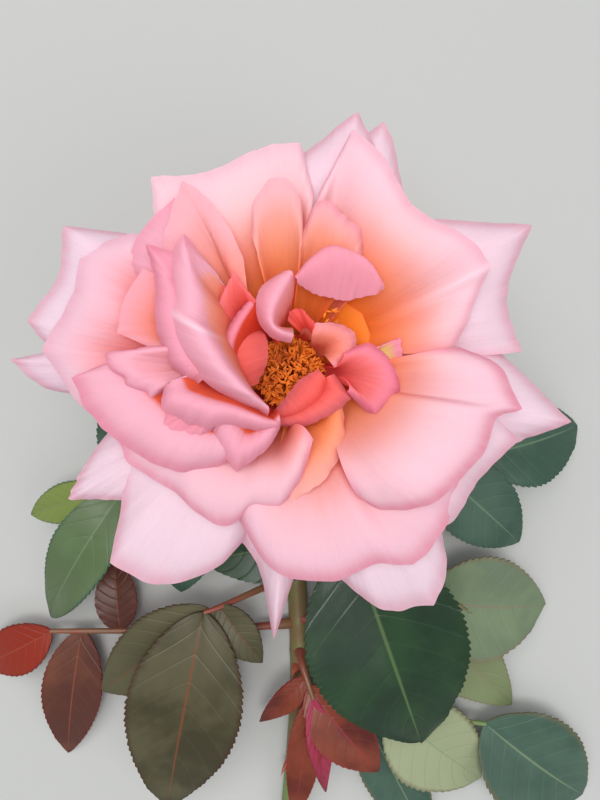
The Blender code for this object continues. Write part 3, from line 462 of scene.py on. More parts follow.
STEM_END = 172.0
STEM_SWAY = 4.0
NECK_THIN = 2.4
STEM_THICK = 3.5
STEM_START = 0.6  # how far the stem has thickened from the neck to its full width where it meets the neck
CLEAR = 0.35
HIP = ((2.6, 12.6), (5.4, 11.0), (7.4, 7.0), (7.9, 3.2), (7.6, CLEAR))  # radius, depth under the bloom
NECK_TOP = BLOOM_BASE - HIP[0][1] - CLEAR
NECK_BEND = NECK_TOP - STEM_THICK
NECK_STEPS = 40
NECK_SIDES = 28
STEM_SIDES = 32
THIN_SIDES = 14  # of a leaf's stalk and a prickle
STEM_GAP = 0.05  # between the neck's end and the stem's
STEM_STEPS = 130
CUT_STRAIGHT = 4.0
STEM_JOINT = (1.6, 0.07)  # a leaf's joint on the stem: how long it is, and its swelling as a share
PRICKLES = 8
PRICKLE_LONG = 6.0
PRICKLE_WIDE = 1.9
PRICKLE_STEPS = 12
PRICKLE_POINT = 0.06
PRICKLE_LEAN = 60.0  # degrees from upright, of which each takes a share
PRICKLE_SUNK = 0.6
PRICKLES_AT = (50.0, 160.0)
SEPALS = 5
SEPAL_LONG = 27.0
SEPAL_WIDE = 8.0
SEPAL_FIRST = 36.0
SEPAL_THICK = 0.55
SEPAL_SUNK = 0.6  # how far its foot is inside the hip
SEPAL_UNDER = 2.6  # how far its foot is under the bloom
SEPAL_POINT = 0.05  # its tip's share of its width
SEPAL_TAPER = 0.8
SEPAL_ROOF = 0.8  # how far a sepal's sides lie under its middle
RACHIS_THICK = 1.3
RACHIS_THIN = 0.75
RACHIS_SWELL = (0.55, 0.06)  # its swollen foot: millimetres, and how long as a share
RACHIS_LEAN = 0.35  # how steeply a rachis that leaves sideways goes up
RACHIS_PULL = 0.3  # how far its first direction and its last carry on, as a share of its reach
RACHIS_STEPS = 36
RACHIS_CLEAR = CLEAR + 0.15
RACHIS_SUNK = 0.8  # how far a rachis starts back towards the stem, and a leaflet into its rachis
LEAFLET_SUNK = 0.5
# A leaf: finish, place along the stem, side, where its rachis ends and how far it rises, and its
# leaflets as (share along the rachis, tip, width, rise, roll in degrees)
LEAVES = {
    "leaf_right_upper": {
        "finish": "green_leaf", "node": 34, "side": 1, "end": (60, -26, 17), "rise": 5,
        "leaflets": (
            (1.0, (97, -18, 0.5), 27, 5, 0), (0.72, (76, -56, 5), 25, 6, 0),
            (0.72, (62, 22, 0.5), 24, 6, 0), (0.42, (48, -60, 9), 20, 5, 0),
        ),
    },
    "leaf_left_upper": {
        "finish": "green_leaf", "node": 30, "side": -1, "end": (-57, -36, 20), "rise": 5,
        "leaflets": (
            (1.0, (-83, -46, 9), 13, 3, 0), (0.86, (-79, -81, 3), 21, 12, -35),
            (0.8, (-50, 4, 0.5), 22, 7, 0), (0.5, (-34, -70, 12), 24, 5, 0),
        ),
    },
    "leaf_front": {
        "finish": "green_leaf", "node": 44, "side": 1, "end": (18.5, -50, 28), "rise": 3,
        "leaflets": (
            (1.0, (42, -117, 14), 48, 8, 0), (0.7, (52, -32, 30), 24, 4, 0), (0.7, (-26, -56, 26), 22, 4, 0),
        ),
    },
    "leaf_right_pale": {
        "finish": "pale_leaf", "node": 60, "side": 1, "end": (44, -72, 13), "rise": 3,
        "leaflets": ((1.0, (85, -77, 4), 34, 5, 0), (0.72, (74, -110, 4), 25, 4, 0)),
    },
    "leaf_bronze": {
        "finish": "bronze_leaf", "node": 69, "side": -1, "end": (-26, -74, 20), "rise": 3,
        "leaflets": (
            (1.0, (-39, -140, 9), 36, 6, 0), (0.93, (-59, -101, 13), 24, 3, 0),
            (0.8, (-8, -90, 18), 13, 2, 0),
        ),
    },
    "leaf_red_bronze": {
        "finish": "red_leaf", "node": 83, "side": -1, "end": (-77, -84, 9), "rise": 1,
        "leaflets": (
            (1.0, (-102, -98, 0.5), 17, 3, 0), (0.86, (-74, -128, 0.5), 20, 3, 0),
            (0.7, (-57, -60, 5), 14, 2, 0),
        ),
    },
    "leaf_young_red": {
        "finish": "red_leaf", "node": 92, "side": 0, "end": (8, -103, 15), "rise": 2,
        "leaflets": (
            (1.0, (12, -134, 12), 9, 2, 55), (0.9, (2, -144, 10), 11, 2, -20),
            (0.75, (29, -128, 11), 19, 3, 0), (0.55, (-9, -112, 11), 9, 2, 30),
        ),
    },
    "leaf_right_lower": {
        "finish": "green_leaf", "node": 106, "side": 1, "end": (64, -114, 9), "rise": 2,
        "leaflets": (
            (1.0, (99, -142, 0.5), 34, 4, 0), (0.45, (64, -135, 3), 30, 3, 0),
            (0.28, (48, -158, 0.5), 20, 3, 0),
        ),
    },
}
# Leaflets that differ from the rest of their leaf: how far towards the finish's second tint
LEAFLET_TINTS = {
    ("leaf_left_upper", 0): 1.0,
    ("leaf_left_upper", 1): 0.35,
    ("leaf_right_pale", 1): 0.8,
    ("leaf_bronze", 1): 0.6,
    ("leaf_bronze", 2): 0.3,
    ("leaf_red_bronze", 0): 1.0,
    ("leaf_young_red", 0): 1.0,
    ("leaf_right_lower", 1): 0.9,
}
SIDE_LOWER = 0.6  # how far a side leaflet's foot lies under the end one's
LEAF_ALONG = 150
LEAF_ACROSS = 16
LEAF_THICK = 0.5
LEAFLET_SHAPE = (0.82, 0.8)  # under 1: its widest place is nearer its foot, and its outline is fuller
LEAF_KEEL = 0.16  # how steeply a leaflet's halves rise from its midrib
LEAF_TEETH = (30, 60, 9)  # teeth on a leaflet of this length, and at least this many
TOOTH_DEEP = 0.05
TOOTHED = (0.82, 1.0)  # how far out towards the margin the teeth begin
PUFFED = ((0.06, 0.3), (0.8, 1.0))  # how far out the puffs come in, and go again
LEAF_PUFF = (0.11, 45)  # how far the blade puffs up between its side veins, on a leaflet of this width
LEAF_WAVE = (0.9, 38)  # how far it waves, on a leaflet of this width
LEAF_RIM_WAVE = (0.5, 38)
LEAF_GROOVE = (0.3, 50)
GROOVE_WIDE = 0.05
VEIN_PAIRS = 8.0
VEIN_SWEEP = (0.2, 1.25)  # how far the side veins run up towards the margin, and how much they curve

# Colours. A ramp's stops go from 0 at the warmest place to 1 at the pink one.
PALE_STOPS = ((0.6, "#f6bfb0"), (0.8, "#f5d6d6"), (1.0, "#f4dde4"))
YELLOW_STOPS = ((0.0, "#ff9a20"), (0.2, "#ffa648"), (0.42, "#fab286"), *PALE_STOPS)
UNDER_STOPS = ((0.0, "#ecd08c"), (0.2, "#f2cc96"), (0.42, "#f4bf9c"), *PALE_STOPS)
CORAL_STOPS = ((0.0, "#ee3a22"), (0.25, "#f2543e"), (0.5, "#f48078"), (0.75, "#f2a5b2"), (1.0, "#f0bdd0"))
# The wall under a folded petal's crest: partly its own red, partly painted glow and shade
WALL_RED_AND_SHADE_STOPS = ((0.0, "#e63416"), (0.22, "#ec4a2c"), (0.38, "#f07c58"), (0.5, "#f6a88e"), (0.6, "#f7c0b2"))
GREEN_BASE = "#ecd488"
# A painted highlight line along a petal's crease, and how strong it is
CREASE_HIGHLIGHT = "#fae6ee"
CREASE_HIGHLIGHT_STRONG = 0.75
# A petal's finish: its ramp, pink, lavender, rim pink, and the height of its veins
PETAL_FINISHES = {
    "petal_face": (YELLOW_STOPS, "#f08faa", "#eee0e8", "#f096b2", 0.28),
    "petal_reverse": (UNDER_STOPS, "#f09ab4", "#ecdae6", "#f09ab6", 0.34),
}
# Where on the warmth's scale a colour comes in: from, to, how much at first and how much at last
DEEP_PINK = (0.45, 0.9, 0.1, 0.75)
COOL_RIM = (0.5, 1.0, 0.0, 0.8)
VEIN_PINK = (0.5, 0.85, 0.0, 0.1)  # the same on the scale of the veins' noise
EDGE_PINK = (0.2, 0.8, 0.4, 0.8)
UNDER_CREST = (0.63, 0.55)  # where along a folded petal its red wall and painted shade end, and where its green band does
GREEN_TOP = (0.95, 0.75)
GREEN_FOOT = (0.35, 0.6)
# The heart's warmth is partly the petals' own orange and partly painted glow and warm shade from light passed
# and bounced between the petals
WARM_GLOW_CENTRE = (6.0, 8.0, 0.0)  # the warmest place of the heart, from the bloom's axis
WARM_GLOW_FROM = 6.0
WARM_GLOW_TO = 40.0
STREAKS = 30.0
FINE_STREAKS = 110.0
STREAK_ALONG = 2.2
STREAK_WANDER = 0.18
FINE_SHARE = 0.35  # how much of a petal's bump the fine veins are
PETAL_SHEEN = {"Roughness": 0.62, "Specular IOR Level": 0.22, "Sheen Weight": 0.05, "Sheen Roughness": 0.5}
GLOW_RICHER = 1.12
GLOW_BRIGHTER = 1.1
# A plain finish: two colours, scale, roughness, and the height of its grain
PLAIN_FINISHES = {
    "receptacle_orange": ("#e8701e", "#d8601a", 220.0, 0.6, 0.1),
    "filament": ("#f08426", "#ea6418", 400.0, 0.55, 0.03),
    "anther": ("#e47c1e", "#bc5812", 300.0, 0.75, 0.12),
    "hip_green": ("#5f7d3c", "#7a8f4a", 160.0, 0.5, 0.08),
    "sepal_face": ("#8aa26a", "#a0b480", 200.0, 0.7, 0.08),
    "sepal_back": ("#587a3a", "#6f6a3c", 160.0, 0.55, 0.08),
    "bark": ("#5c7a3c", "#6f5a38", 60.0, 0.45, 0.06),
    "prickle": ("#a8523c", "#7c3626", 120.0, 0.4, 0.04),
    "stalk_green": ("#5c7440", "#6c5a38", 120.0, 0.45, 0.03),
    "stalk_red": ("#7c3a2c", "#6c4a30", 120.0, 0.4, 0.03),
}
PLAIN_PATCHES = (0.38, 0.64)  # where the noise turns from the first colour to the second
GRAIN_FINER = 6  # how many times finer than the patches the grain is
# A leaf's finish: two blade colours, tint, vein, midrib, margin, roughness
LEAF_FINISHES = {
    "green_leaf": ("#192d1c", "#223a22", "#2a4a24", "#2c4a2a", "#566a3e", "#1a3018", 0.3),
    "green_leaf_back": ("#5f7c5a", "#6c8866", "#7c8c5a", "#88a07a", "#93a67c", "#6c8866", 0.6),
    "blue_green_leaf": ("#30483c", "#3e5648", "#6c7a3c", "#4c6852", "#647c5e", "#30483a", 0.4),
    "pale_leaf": ("#5a6852", "#667558", "#6c7450", "#76846c", "#74604e", "#6a5e46", 0.46),
    "bronze_leaf": ("#34301e", "#4a4630", "#55523a", "#5e543a", "#74361e", "#3a2416", 0.4),
    "red_leaf": ("#4a2820", "#603828", "#7c2414", "#6c3a2a", "#864430", "#5c1c14", 0.34),
    "young_leaf": ("#4c1a14", "#703220", "#8c2840", "#783226", "#8c2840", "#742020", 0.3),
    "red_leaf_back": ("#7a3c38", "#864a40", "#8c4a44", "#95584a", "#a05a48", "#7a3c38", 0.5),
    "lower_leaf": ("#30483c", "#3e5648", "#8a9070", "#5c7058", "#70805e", "#5a5238", 0.4),
}
LEAF_BUMP = 0.1
LEAF_SHINE = 0.24
LEAF_PATCHES = 55.0
BLADE_PATCHES = (0.36, 0.66)
MARGIN = (0.86, 1.0, 0.0, 0.7)  # where out from the midrib its colour comes in, and how strong it gets
MIDRIB_LINE = (0.034, 0.008)  # where the midrib begins, and where it is full
MIDRIB_STRONG = 0.6
VEIN_STRONG = 0.14
VEIN_LINE = 0.09
SIDE_VEINS = 0.7
NET_SCALE = 46.0
NET_VEINS = 0.06
NET_SUNK = 0.12
VEIN_SUNK = 0.6  # how deep the veins lie under the puffs between them
# A leaf's face, back and stalk
LEAF_LOOKS = {
    "leaf_right_upper": ("blue_green_leaf", "green_leaf_back", "stalk_green"),
    "leaf_left_upper": ("blue_green_leaf", "green_leaf_back", "stalk_green"),
    "leaf_front": ("green_leaf", "green_leaf_back", "stalk_green"),
    "leaf_right_pale": ("pale_leaf", "green_leaf_back", "stalk_red"),
    "leaf_bronze": ("bronze_leaf", "red_leaf_back", "stalk_red"),
    "leaf_red_bronze": ("red_leaf", "red_leaf_back", "stalk_red"),
    "leaf_young_red": ("young_leaf", "red_leaf_back", "stalk_red"),
    "leaf_right_lower": ("lower_leaf", "green_leaf_back", "stalk_green"),
}

FLOOR_GREY = "#a9a9a6"
SKY = (0.92, 0.96, 1.0, 1.0)
SKY_STRENGTH = 0.6
# A light: where it is and how wide, in metres, and its power in watts
LIGHTS = {
    "key": ((-0.22, 0.34, 0.95), 0.7, 6.0),
    "front": ((0.04, 0.06, 1.1), 0.3, 4.8),
    "fill": ((0.5, -0.3, 0.7), 0.6, 1.6),
}
LIGHTS_AIM = (0.0, 0.0, 0.05)
CAMERA_HEIGHT = 225.0
CAMERA_LENS = 30.0
CAMERA_SENSOR = 36.0
FRAME_TALL = 800
FRAME_SHIFT = (12, -28)  # how far the bloom's axis is from the frame's middle, in pixels of that frame

# Where the bloom's axis stands in the row frame, from the stamens' solid
stamen_low, stamen_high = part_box("stamens")
AXIS = Vector(((stamen_low[0] + stamen_high[0]) / 2, (stamen_low[1] + stamen_high[1]) / 2, 0.0))


def place(point):
    """A point of the layout, in millimetres, as a place in the row frame, in metres."""
    return Vector(point) * MM + AXIS


# ---- small helpers ----


def linear(channel):
    if channel <= 0.04045:
        return channel / 12.92
    return ((channel + 0.055) / 1.055) ** 2.4


def colour(code):
    return (*(linear(int(code[i : i + 2], 16) / 255) for i in (1, 3, 5)), 1.0)


def polar(bearing, reach, height):
    angle = math.radians(bearing)
    return Vector((reach * math.cos(angle), reach * math.sin(angle), height))


def between(ends, share):
    return ends[0] + (ends[1] - ends[0]) * share


def arc(a, b, c, t):
    """The point at t of a curve from a to c that is drawn towards b."""
    return a * (1 - t) ** 2 + b * (2 * t * (1 - t)) + c * t * t


def bezier(a, b, c, d, t):
    s = 1.0 - t
    return a * s**3 + b * (3 * s * s * t) + c * (3 * s * t * t) + d * t**3


def smooth_step(low, high, x):
    t = min(1.0, max(0.0, (x - low) / (high - low)))
    return t * t * (3 - 2 * t)


def bell(x, width):
    """1 at x = 0, falling off on both sides."""
    return math.exp(-((x / width) ** 2))


def ripple(x, y, seed):
    """A smooth random value from -1 to 1."""
    return noise.noise(Vector((x, y, seed * 7.31)))


def select_only(*pieces):
    bpy.ops.object.select_all(action="DESELECT")
    for piece in pieces:
        piece.select_set(True)
    if pieces:
        bpy.context.view_layer.objects.active = pieces[0]


def primitive(name, add, **sizes):
    """A new mesh primitive, alone in the selection."""
    select_only()
    add(**sizes)
    piece = bpy.context.object
    piece.name = name
    piece.data.name = name
    return piece


def shaped_grid(name, across, along, rule):
    """A grid primitive whose points are moved to rule(s, t), with s across and t along from 0 to 1."""
    grid = {"x_subdivisions": across, "y_subdivisions": along, "size": 1.0}
    piece = primitive(name, bpy.ops.mesh.primitive_grid_add, **grid)
    for vertex in piece.data.vertices:
        s = 0.5 - vertex.co.x
        t = vertex.co.y + 0.5
        vertex.co = place(rule(s, t))
    piece.data.shade_smooth()
    return piece


def ringed_cylinder(name, sides, cuts):
    """An upright cylinder primitive from z = -0.5 to 0.5, cut into rings in edit mode."""
    piece = primitive(name, bpy.ops.mesh.primitive_cylinder_add, vertices=sides, radius=1.0, depth=1.0)
    bpy.context.tool_settings.mesh_select_mode = (False, True, False)
    bpy.ops.object.mode_set(mode="EDIT")
    bpy.ops.mesh.select_all(action="DESELECT")
    bpy.ops.object.mode_set(mode="OBJECT")
    points = piece.data.vertices
    for edge in piece.data.edges:
        low, high = edge.vertices
        edge.select = abs(points[low].co.z - points[high].co.z) > 0.5
    bpy.ops.object.mode_set(mode="EDIT")
    bpy.ops.mesh.subdivide(number_cuts=cuts)
    bpy.ops.object.mode_set(mode="OBJECT")
    return piece


def take_shape(piece):
    """The points and faces of a small modelled shape, which is then removed."""
    mesh = piece.data
    points = np.array([vertex.co for vertex in mesh.vertices])
    faces = [list(face.vertices) for face in mesh.polygons]
    bpy.data.objects.remove(piece)
    bpy.data.meshes.remove(mesh)
    return points, faces


def joined_copies(name, copies, faces, material):
    """One piece made of many copies of a small shape, each with its own points, in millimetres."""
    count = len(copies[0])
    points = np.concatenate(copies) * MM + np.array(AXIS)
    all_faces = [[i + count * k for i in face] for k in range(len(copies)) for face in faces]
    mesh = bpy.data.meshes.new(name)
    mesh.from_pydata(points.tolist(), [], all_faces)
    mesh.shade_smooth()
    mesh.materials.append(material)
    piece = bpy.data.objects.new(name, mesh)
    bpy.context.scene.collection.objects.link(piece)
    return piece


def store(piece, name, values):
    """Keeps one number for each point of the piece as an attribute."""
    attribute = piece.data.attributes.new(name, "FLOAT", "POINT")
    attribute.data.foreach_set("value", np.asarray(values, dtype=np.float32))


def store_plain(piece, name, value):
    store(piece, name, [value] * len(piece.data.vertices))


def thicken(piece, thickness, materials):
    """Gives a sheet its thickness, with the second material on its underside."""
    for material in materials:
        piece.data.materials.append(material)
    solid = piece.modifiers.new("thickness", "SOLIDIFY")
    solid.thickness = thickness * MM
    solid.offset = 0.0
    solid.material_offset = len(materials) - 1
    select_only(piece)
    bpy.ops.object.modifier_apply(modifier=solid.name)
    piece.data.set_sharp_from_angle(angle=math.radians(SHARP))


def join(pieces, name):
    select_only(*pieces)
    bpy.ops.object.join()
    joined = bpy.context.object
    joined.name = name
    joined.data.name = name
    return joined


def finish_piece(piece, node):
    """Puts the piece's origin at the world's, hangs it on the root body, and hides the solid that it stands
    for.
    """
    select_only(piece)
    bpy.ops.object.transform_apply(location=True, rotation=True, scale=True)
    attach(piece, "root")
    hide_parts(node)


# ---- materials ----


def new_material(name):
    material = bpy.data.materials.new(name)
    material.use_nodes = True
    return material, material.node_tree.nodes["Principled BSDF"]


def feed(tree, socket, value):
    """Puts a number, a colour or another node's output into a socket."""
    if isinstance(value, (int, float, tuple)):
        socket.default_value = value
    else:
        tree.links.new(value, socket)


def math_node(tree, operation, first, second=None, clamp=False):
    node = tree.nodes.new("ShaderNodeMath")
    node.operation = operation
    node.use_clamp = clamp
    feed(tree, node.inputs[0], first)
    if second is not None:
        feed(tree, node.inputs[1], second)
    return node.outputs[0]


def plus(tree, first, second, clamp=False):
    return math_node(tree, "ADD", first, second, clamp)


def minus(tree, first, second):
    return math_node(tree, "SUBTRACT", first, second)


def times(tree, first, second, clamp=False):
    return math_node(tree, "MULTIPLY", first, second, clamp)


def vector_node(tree, operation, first, second):
    node = tree.nodes.new("ShaderNodeVectorMath")
    node.operation = operation
    tree.links.new(first, node.inputs[0])
    node.inputs[1].default_value = second
    return node.outputs


def range_node(tree, value, low, high, to_low=0.0, to_high=1.0):
    node = tree.nodes.new("ShaderNodeMapRange")
    node.interpolation_type = "SMOOTHSTEP"
    tree.links.new(value, node.inputs["Value"])
    for socket, number in zip(("From Min", "From Max", "To Min", "To Max"), (low, high, to_low, to_high)):
        node.inputs[socket].default_value = number
    return node.outputs["Result"]


def mix_node(tree, factor, first, second):
    node = tree.nodes.new("ShaderNodeMix")
    node.data_type = "RGBA"
    colour_sockets = [socket for socket in node.inputs if socket.type == "RGBA"]
    for socket, value in zip((node.inputs[0], *colour_sockets), (factor, first, second)):
        feed(tree, socket, value)
    return [socket for socket in node.outputs if socket.type == "RGBA"][0]


def over(tree, base, code, *masks):
    """Lays a colour over the base, as strongly as its masks say together."""
    amount = masks[0]
    for mask in masks[1:]:
        amount = times(tree, amount, mask)
    return mix_node(tree, amount, base, colour(code))


def ramp_node(tree, value, stops):
    node = tree.nodes.new("ShaderNodeValToRGB")
    tree.links.new(value, node.inputs["Fac"])
    ramp = node.color_ramp
    while len(ramp.elements) < len(stops):
        ramp.elements.new(0.5)
    for element, (position, code) in zip(ramp.elements, stops):
        element.position = position
        element.color = colour(code)
    return node.outputs["Color"]


def noise_node(tree, vector, scale, detail=3.0, roughness=0.55):
    node = tree.nodes.new("ShaderNodeTexNoise")
    tree.links.new(vector, node.inputs["Vector"])
    node.inputs["Scale"].default_value = scale
    node.inputs["Detail"].default_value = detail
    node.inputs["Roughness"].default_value = roughness
    return node.outputs["Fac"]


def attribute_node(tree, name):
    node = tree.nodes.new("ShaderNodeAttribute")
    node.attribute_name = name
    return node.outputs["Fac"]


def bump_node(tree, height, distance):
    node = tree.nodes.new("ShaderNodeBump")
    node.inputs["Distance"].default_value = distance * MM
    tree.links.new(height, node.inputs["Height"])
    return node.outputs["Normal"]


def object_place(tree):
    return tree.nodes.new("ShaderNodeTexCoord").outputs["Object"]


def uv_parts(tree):
    """The piece's UV map as (vector, across, along)."""
    uv = tree.nodes.new("ShaderNodeUVMap")
    uv.uv_map = "UVMap"
    parts = tree.nodes.new("ShaderNodeSeparateXYZ")
    tree.links.new(uv.outputs["UV"], parts.inputs["Vector"])
    return uv.outputs["UV"], parts.outputs["X"], parts.outputs["Y"]


def new_group(name, entry, exits):
    """A shader node group with one number in: its tree, that number, and the sockets of its results."""
    group = bpy.data.node_groups.new(name, "ShaderNodeTree")
    group.interface.new_socket(name=entry, in_out="INPUT", socket_type="NodeSocketFloat")
    for result in exits:
        group.interface.new_socket(name=result, in_out="OUTPUT", socket_type="NodeSocketFloat")
    return group, group.nodes.new("NodeGroupInput").outputs[entry], group.nodes.new("NodeGroupOutput").inputs


def group_node(tree, group, entry, value):
    node = tree.nodes.new("ShaderNodeGroup")
    node.node_tree = group
    node.inputs[entry].default_value = value
    return node.outputs


def streak_group():
    """Fine veins that run along a petal: a value round 0.5 from the UV map, with its own seed."""
    group, count, results = new_group("petal_streaks", "Count", ("Streaks",))
    across, along = uv_parts(group)[1:]
    stretched = group.nodes.new("ShaderNodeCombineXYZ")
    group.links.new(times(group, across, count), stretched.inputs["X"])
    group.links.new(times(group, along, STREAK_ALONG), stretched.inputs["Y"])
    group.links.new(attribute_node(group, "seed"), stretched.inputs["Z"])
    group.links.new(noise_node(group, stretched.outputs["Vector"], 1.0, 4.0, 0.6), results["Streaks"])
    return group


def petal_warmth(tree, along, streaks):
    """0 where a petal is warmest and 1 where it is pink, up its claw and out from the bloom's heart. The
    warmth near the heart is partly the petals' own orange and partly painted glow and warm shade.
    """
    level = vector_node(tree, "MULTIPLY", object_place(tree), (1.0, 1.0, 0.0))["Vector"]
    away = vector_node(tree, "DISTANCE", level, AXIS + Vector(WARM_GLOW_CENTRE) * MM)["Value"]
    from_heart_glow = range_node(tree, away, WARM_GLOW_FROM * MM, WARM_GLOW_TO * MM)
    wander = times(tree, minus(tree, streaks, 0.5), STREAK_WANDER)
    climb = math_node(tree, "DIVIDE", plus(tree, along, wander), attribute_node(tree, "warm"))
    near = attribute_node(tree, "near")
    own = times(tree, climb, minus(tree, 1.0, near))
    return plus(tree, own, times(tree, from_heart_glow, near), clamp=True)


def petal_wall_red_and_shade(tree, base, along):
    """The wall of a folded petal under its crest: red, partly in its own colour and partly as painted glow
    and shade in the hollow there.
    """
    inside = attribute_node(tree, "inside")
    climb = math_node(tree, "DIVIDE", along, math_node(tree, "MAXIMUM", inside, 1.0))
    red_and_shade_under_crest = times(tree, inside, range_node(tree, along, *UNDER_CREST), clamp=True)
    return mix_node(tree, red_and_shade_under_crest, base, ramp_node(tree, climb, WALL_RED_AND_SHADE_STOPS))


def petal_colour(tree, along, streaks, stops, pink, lavender, rim_pink):
    warmth = petal_warmth(tree, along, streaks)
    warm = ramp_node(tree, warmth, stops)
    base = mix_node(tree, attribute_node(tree, "coral"), warm, ramp_node(tree, warmth, CORAL_STOPS))
    base = over(tree, base, pink, attribute_node(tree, "deep"), range_node(tree, warmth, *DEEP_PINK))
    base = over(tree, base, lavender, attribute_node(tree, "cool"), range_node(tree, warmth, *COOL_RIM))
    base = petal_wall_red_and_shade(tree, base, along)
    band = (range_node(tree, along, *GREEN_TOP), range_node(tree, along, *GREEN_FOOT))
    base = over(tree, base, GREEN_BASE, attribute_node(tree, "green"), *band)
    base = over(tree, base, rim_pink, range_node(tree, streaks, *VEIN_PINK))
    base = over(tree, base, rim_pink, attribute_node(tree, "edge"), range_node(tree, streaks, *EDGE_PINK))
    # a painted highlight line along the crease
    return over(tree, base, CREASE_HIGHLIGHT, attribute_node(tree, "crease"), CREASE_HIGHLIGHT_STRONG)


def add_glow(tree, shader, base, normal):
    """Lets half of the light through the petal, in a richer colour."""
    richer = tree.nodes.new("ShaderNodeHueSaturation")
    richer.inputs["Saturation"].default_value = GLOW_RICHER
    richer.inputs["Value"].default_value = GLOW_BRIGHTER
    tree.links.new(base, richer.inputs["Color"])
    glow = tree.nodes.new("ShaderNodeBsdfTranslucent")
    tree.links.new(richer.outputs["Color"], glow.inputs["Color"])
    tree.links.new(normal, glow.inputs["Normal"])
    both = tree.nodes.new("ShaderNodeMixShader")
    both.inputs["Fac"].default_value = 0.5
    tree.links.new(shader.outputs["BSDF"], both.inputs[1])
    tree.links.new(glow.outputs["BSDF"], both.inputs[2])
    tree.links.new(both.outputs["Shader"], tree.nodes["Material Output"].inputs["Surface"])


def petal_material(name, group, stops, pink, lavender, rim_pink, bump):
    """A petal's finish: warm at its claw and in the heart, pink towards its rim, with fine veins along it."""
    material, shader = new_material(name)
    tree = material.node_tree
    along = uv_parts(tree)[2]
    streaks = group_node(tree, group, "Count", STREAKS)["Streaks"]
    fine = group_node(tree, group, "Count", FINE_STREAKS)["Streaks"]
    base = petal_colour(tree, along, streaks, stops, pink, lavender, rim_pink)
    height = plus(tree, times(tree, streaks, 1 - FINE_SHARE), times(tree, fine, FINE_SHARE))
    normal = bump_node(tree, height, bump)
    tree.links.new(base, shader.inputs["Base Color"])
    tree.links.new(normal, shader.inputs["Normal"])
    for socket, value in PETAL_SHEEN.items():
        shader.inputs[socket].default_value = value
    add_glow(tree, shader, base, normal)
    return material


def plain_material(name, code, second_code, scale, roughness, bump):
    """A finish that wanders between two colours with a fine grain."""
    material, shader = new_material(name)
    tree = material.node_tree
    coordinates = object_place(tree)
    patches = range_node(tree, noise_node(tree, coordinates, scale), *PLAIN_PATCHES)
    tree.links.new(mix_node(tree, patches, colour(code), colour(second_code)), shader.inputs["Base Color"])
    grain = noise_node(tree, coordinates, scale * GRAIN_FINER)
    tree.links.new(bump_node(tree, grain, bump), shader.inputs["Normal"])
    shader.inputs["Roughness"].default_value = roughness
    return material


def from_midrib(tree, across):
    """0 on a leaflet's midrib and 1 at its margins."""
    return math_node(tree, "ABSOLUTE", minus(tree, times(tree, across, 2.0), 1.0))


def vein_group():
    """The veins of a leaflet from its UV map: a midrib, side veins that run up to the margin, and a net."""
    group, pairs, results = new_group("leaf_veins", "Pairs", ("Veins", "Midrib", "Height"))
    vector, across, along = uv_parts(group)
    aside = from_midrib(group, across)
    midrib = range_node(group, aside, *MIDRIB_LINE)
    sweep, curve = VEIN_SWEEP
    swept = minus(group, along, times(group, math_node(group, "POWER", aside, curve), sweep))
    between_veins = math_node(group, "FRACT", times(group, swept, pairs))
    to_vein = math_node(group, "ABSOLUTE", minus(group, between_veins, 0.5))
    side = range_node(group, to_vein, VEIN_LINE, 0.0)
    net = group.nodes.new("ShaderNodeTexVoronoi")
    net.feature = "DISTANCE_TO_EDGE"
    net.inputs["Scale"].default_value = NET_SCALE
    group.links.new(vector, net.inputs["Vector"])
    net_line = range_node(group, net.outputs["Distance"], VEIN_LINE, 0.0)
    veins = math_node(group, "MAXIMUM", times(group, side, SIDE_VEINS), times(group, net_line, NET_VEINS))
    group.links.new(math_node(group, "MAXIMUM", veins, midrib), results["Veins"])
    group.links.new(midrib, results["Midrib"])
    sunk = times(group, plus(group, side, times(group, net_line, NET_SUNK)), -VEIN_SUNK)
    puff = times(group, math_node(group, "SINE", times(group, to_vein, math.pi)), 0.5)
    group.links.new(plus(group, sunk, puff), results["Height"])
    return group


def leaf_material(name, group, blade, second, tint, vein, midrib, margin, roughness):
    """A leaflet's finish: two blade colours that wander, a tint of its own, its veins and its margin."""
    material, shader = new_material(name)
    tree = material.node_tree
    across = uv_parts(tree)[1]
    veins = group_node(tree, group, "Pairs", VEIN_PAIRS)
    patches = range_node(tree, noise_node(tree, object_place(tree), LEAF_PATCHES), *BLADE_PATCHES)
    base = mix_node(tree, patches, colour(blade), colour(second))
    base = over(tree, base, tint, attribute_node(tree, "tint"))
    base = over(tree, base, vein, veins["Veins"], VEIN_STRONG)
    base = over(tree, base, midrib, veins["Midrib"], MIDRIB_STRONG)
    base = over(tree, base, margin, range_node(tree, from_midrib(tree, across), *MARGIN))
    tree.links.new(base, shader.inputs["Base Color"])
    tree.links.new(bump_node(tree, veins["Height"], LEAF_BUMP), shader.inputs["Normal"])
    shader.inputs["Roughness"].default_value = roughness
    shader.inputs["Specular IOR Level"].default_value = LEAF_SHINE
    return material


def make_materials():
    """Every finish of the plant, by name."""
    streaks = streak_group()
    veins = vein_group()
    petals = {name: petal_material(name, streaks, *finish) for name, finish in PETAL_FINISHES.items()}
    plain = {name: plain_material(name, *finish) for name, finish in PLAIN_FINISHES.items()}
    leaves = {name: leaf_material(name, veins, *finish) for name, finish in LEAF_FINISHES.items()}
    return {**petals, **plain, **leaves}


# ---- the bloom ----


def curve_marks(points):
    """The share of the way across at which each point of a rim lies, on a column of the grid."""
    marks = [0.0]
    for a, b in zip(points, points[1:]):
        marks.append(marks[-1] + math.sqrt((b - a).length))
    return [round(mark / marks[-1] * PETAL_ACROSS) / PETAL_ACROSS for mark in marks]


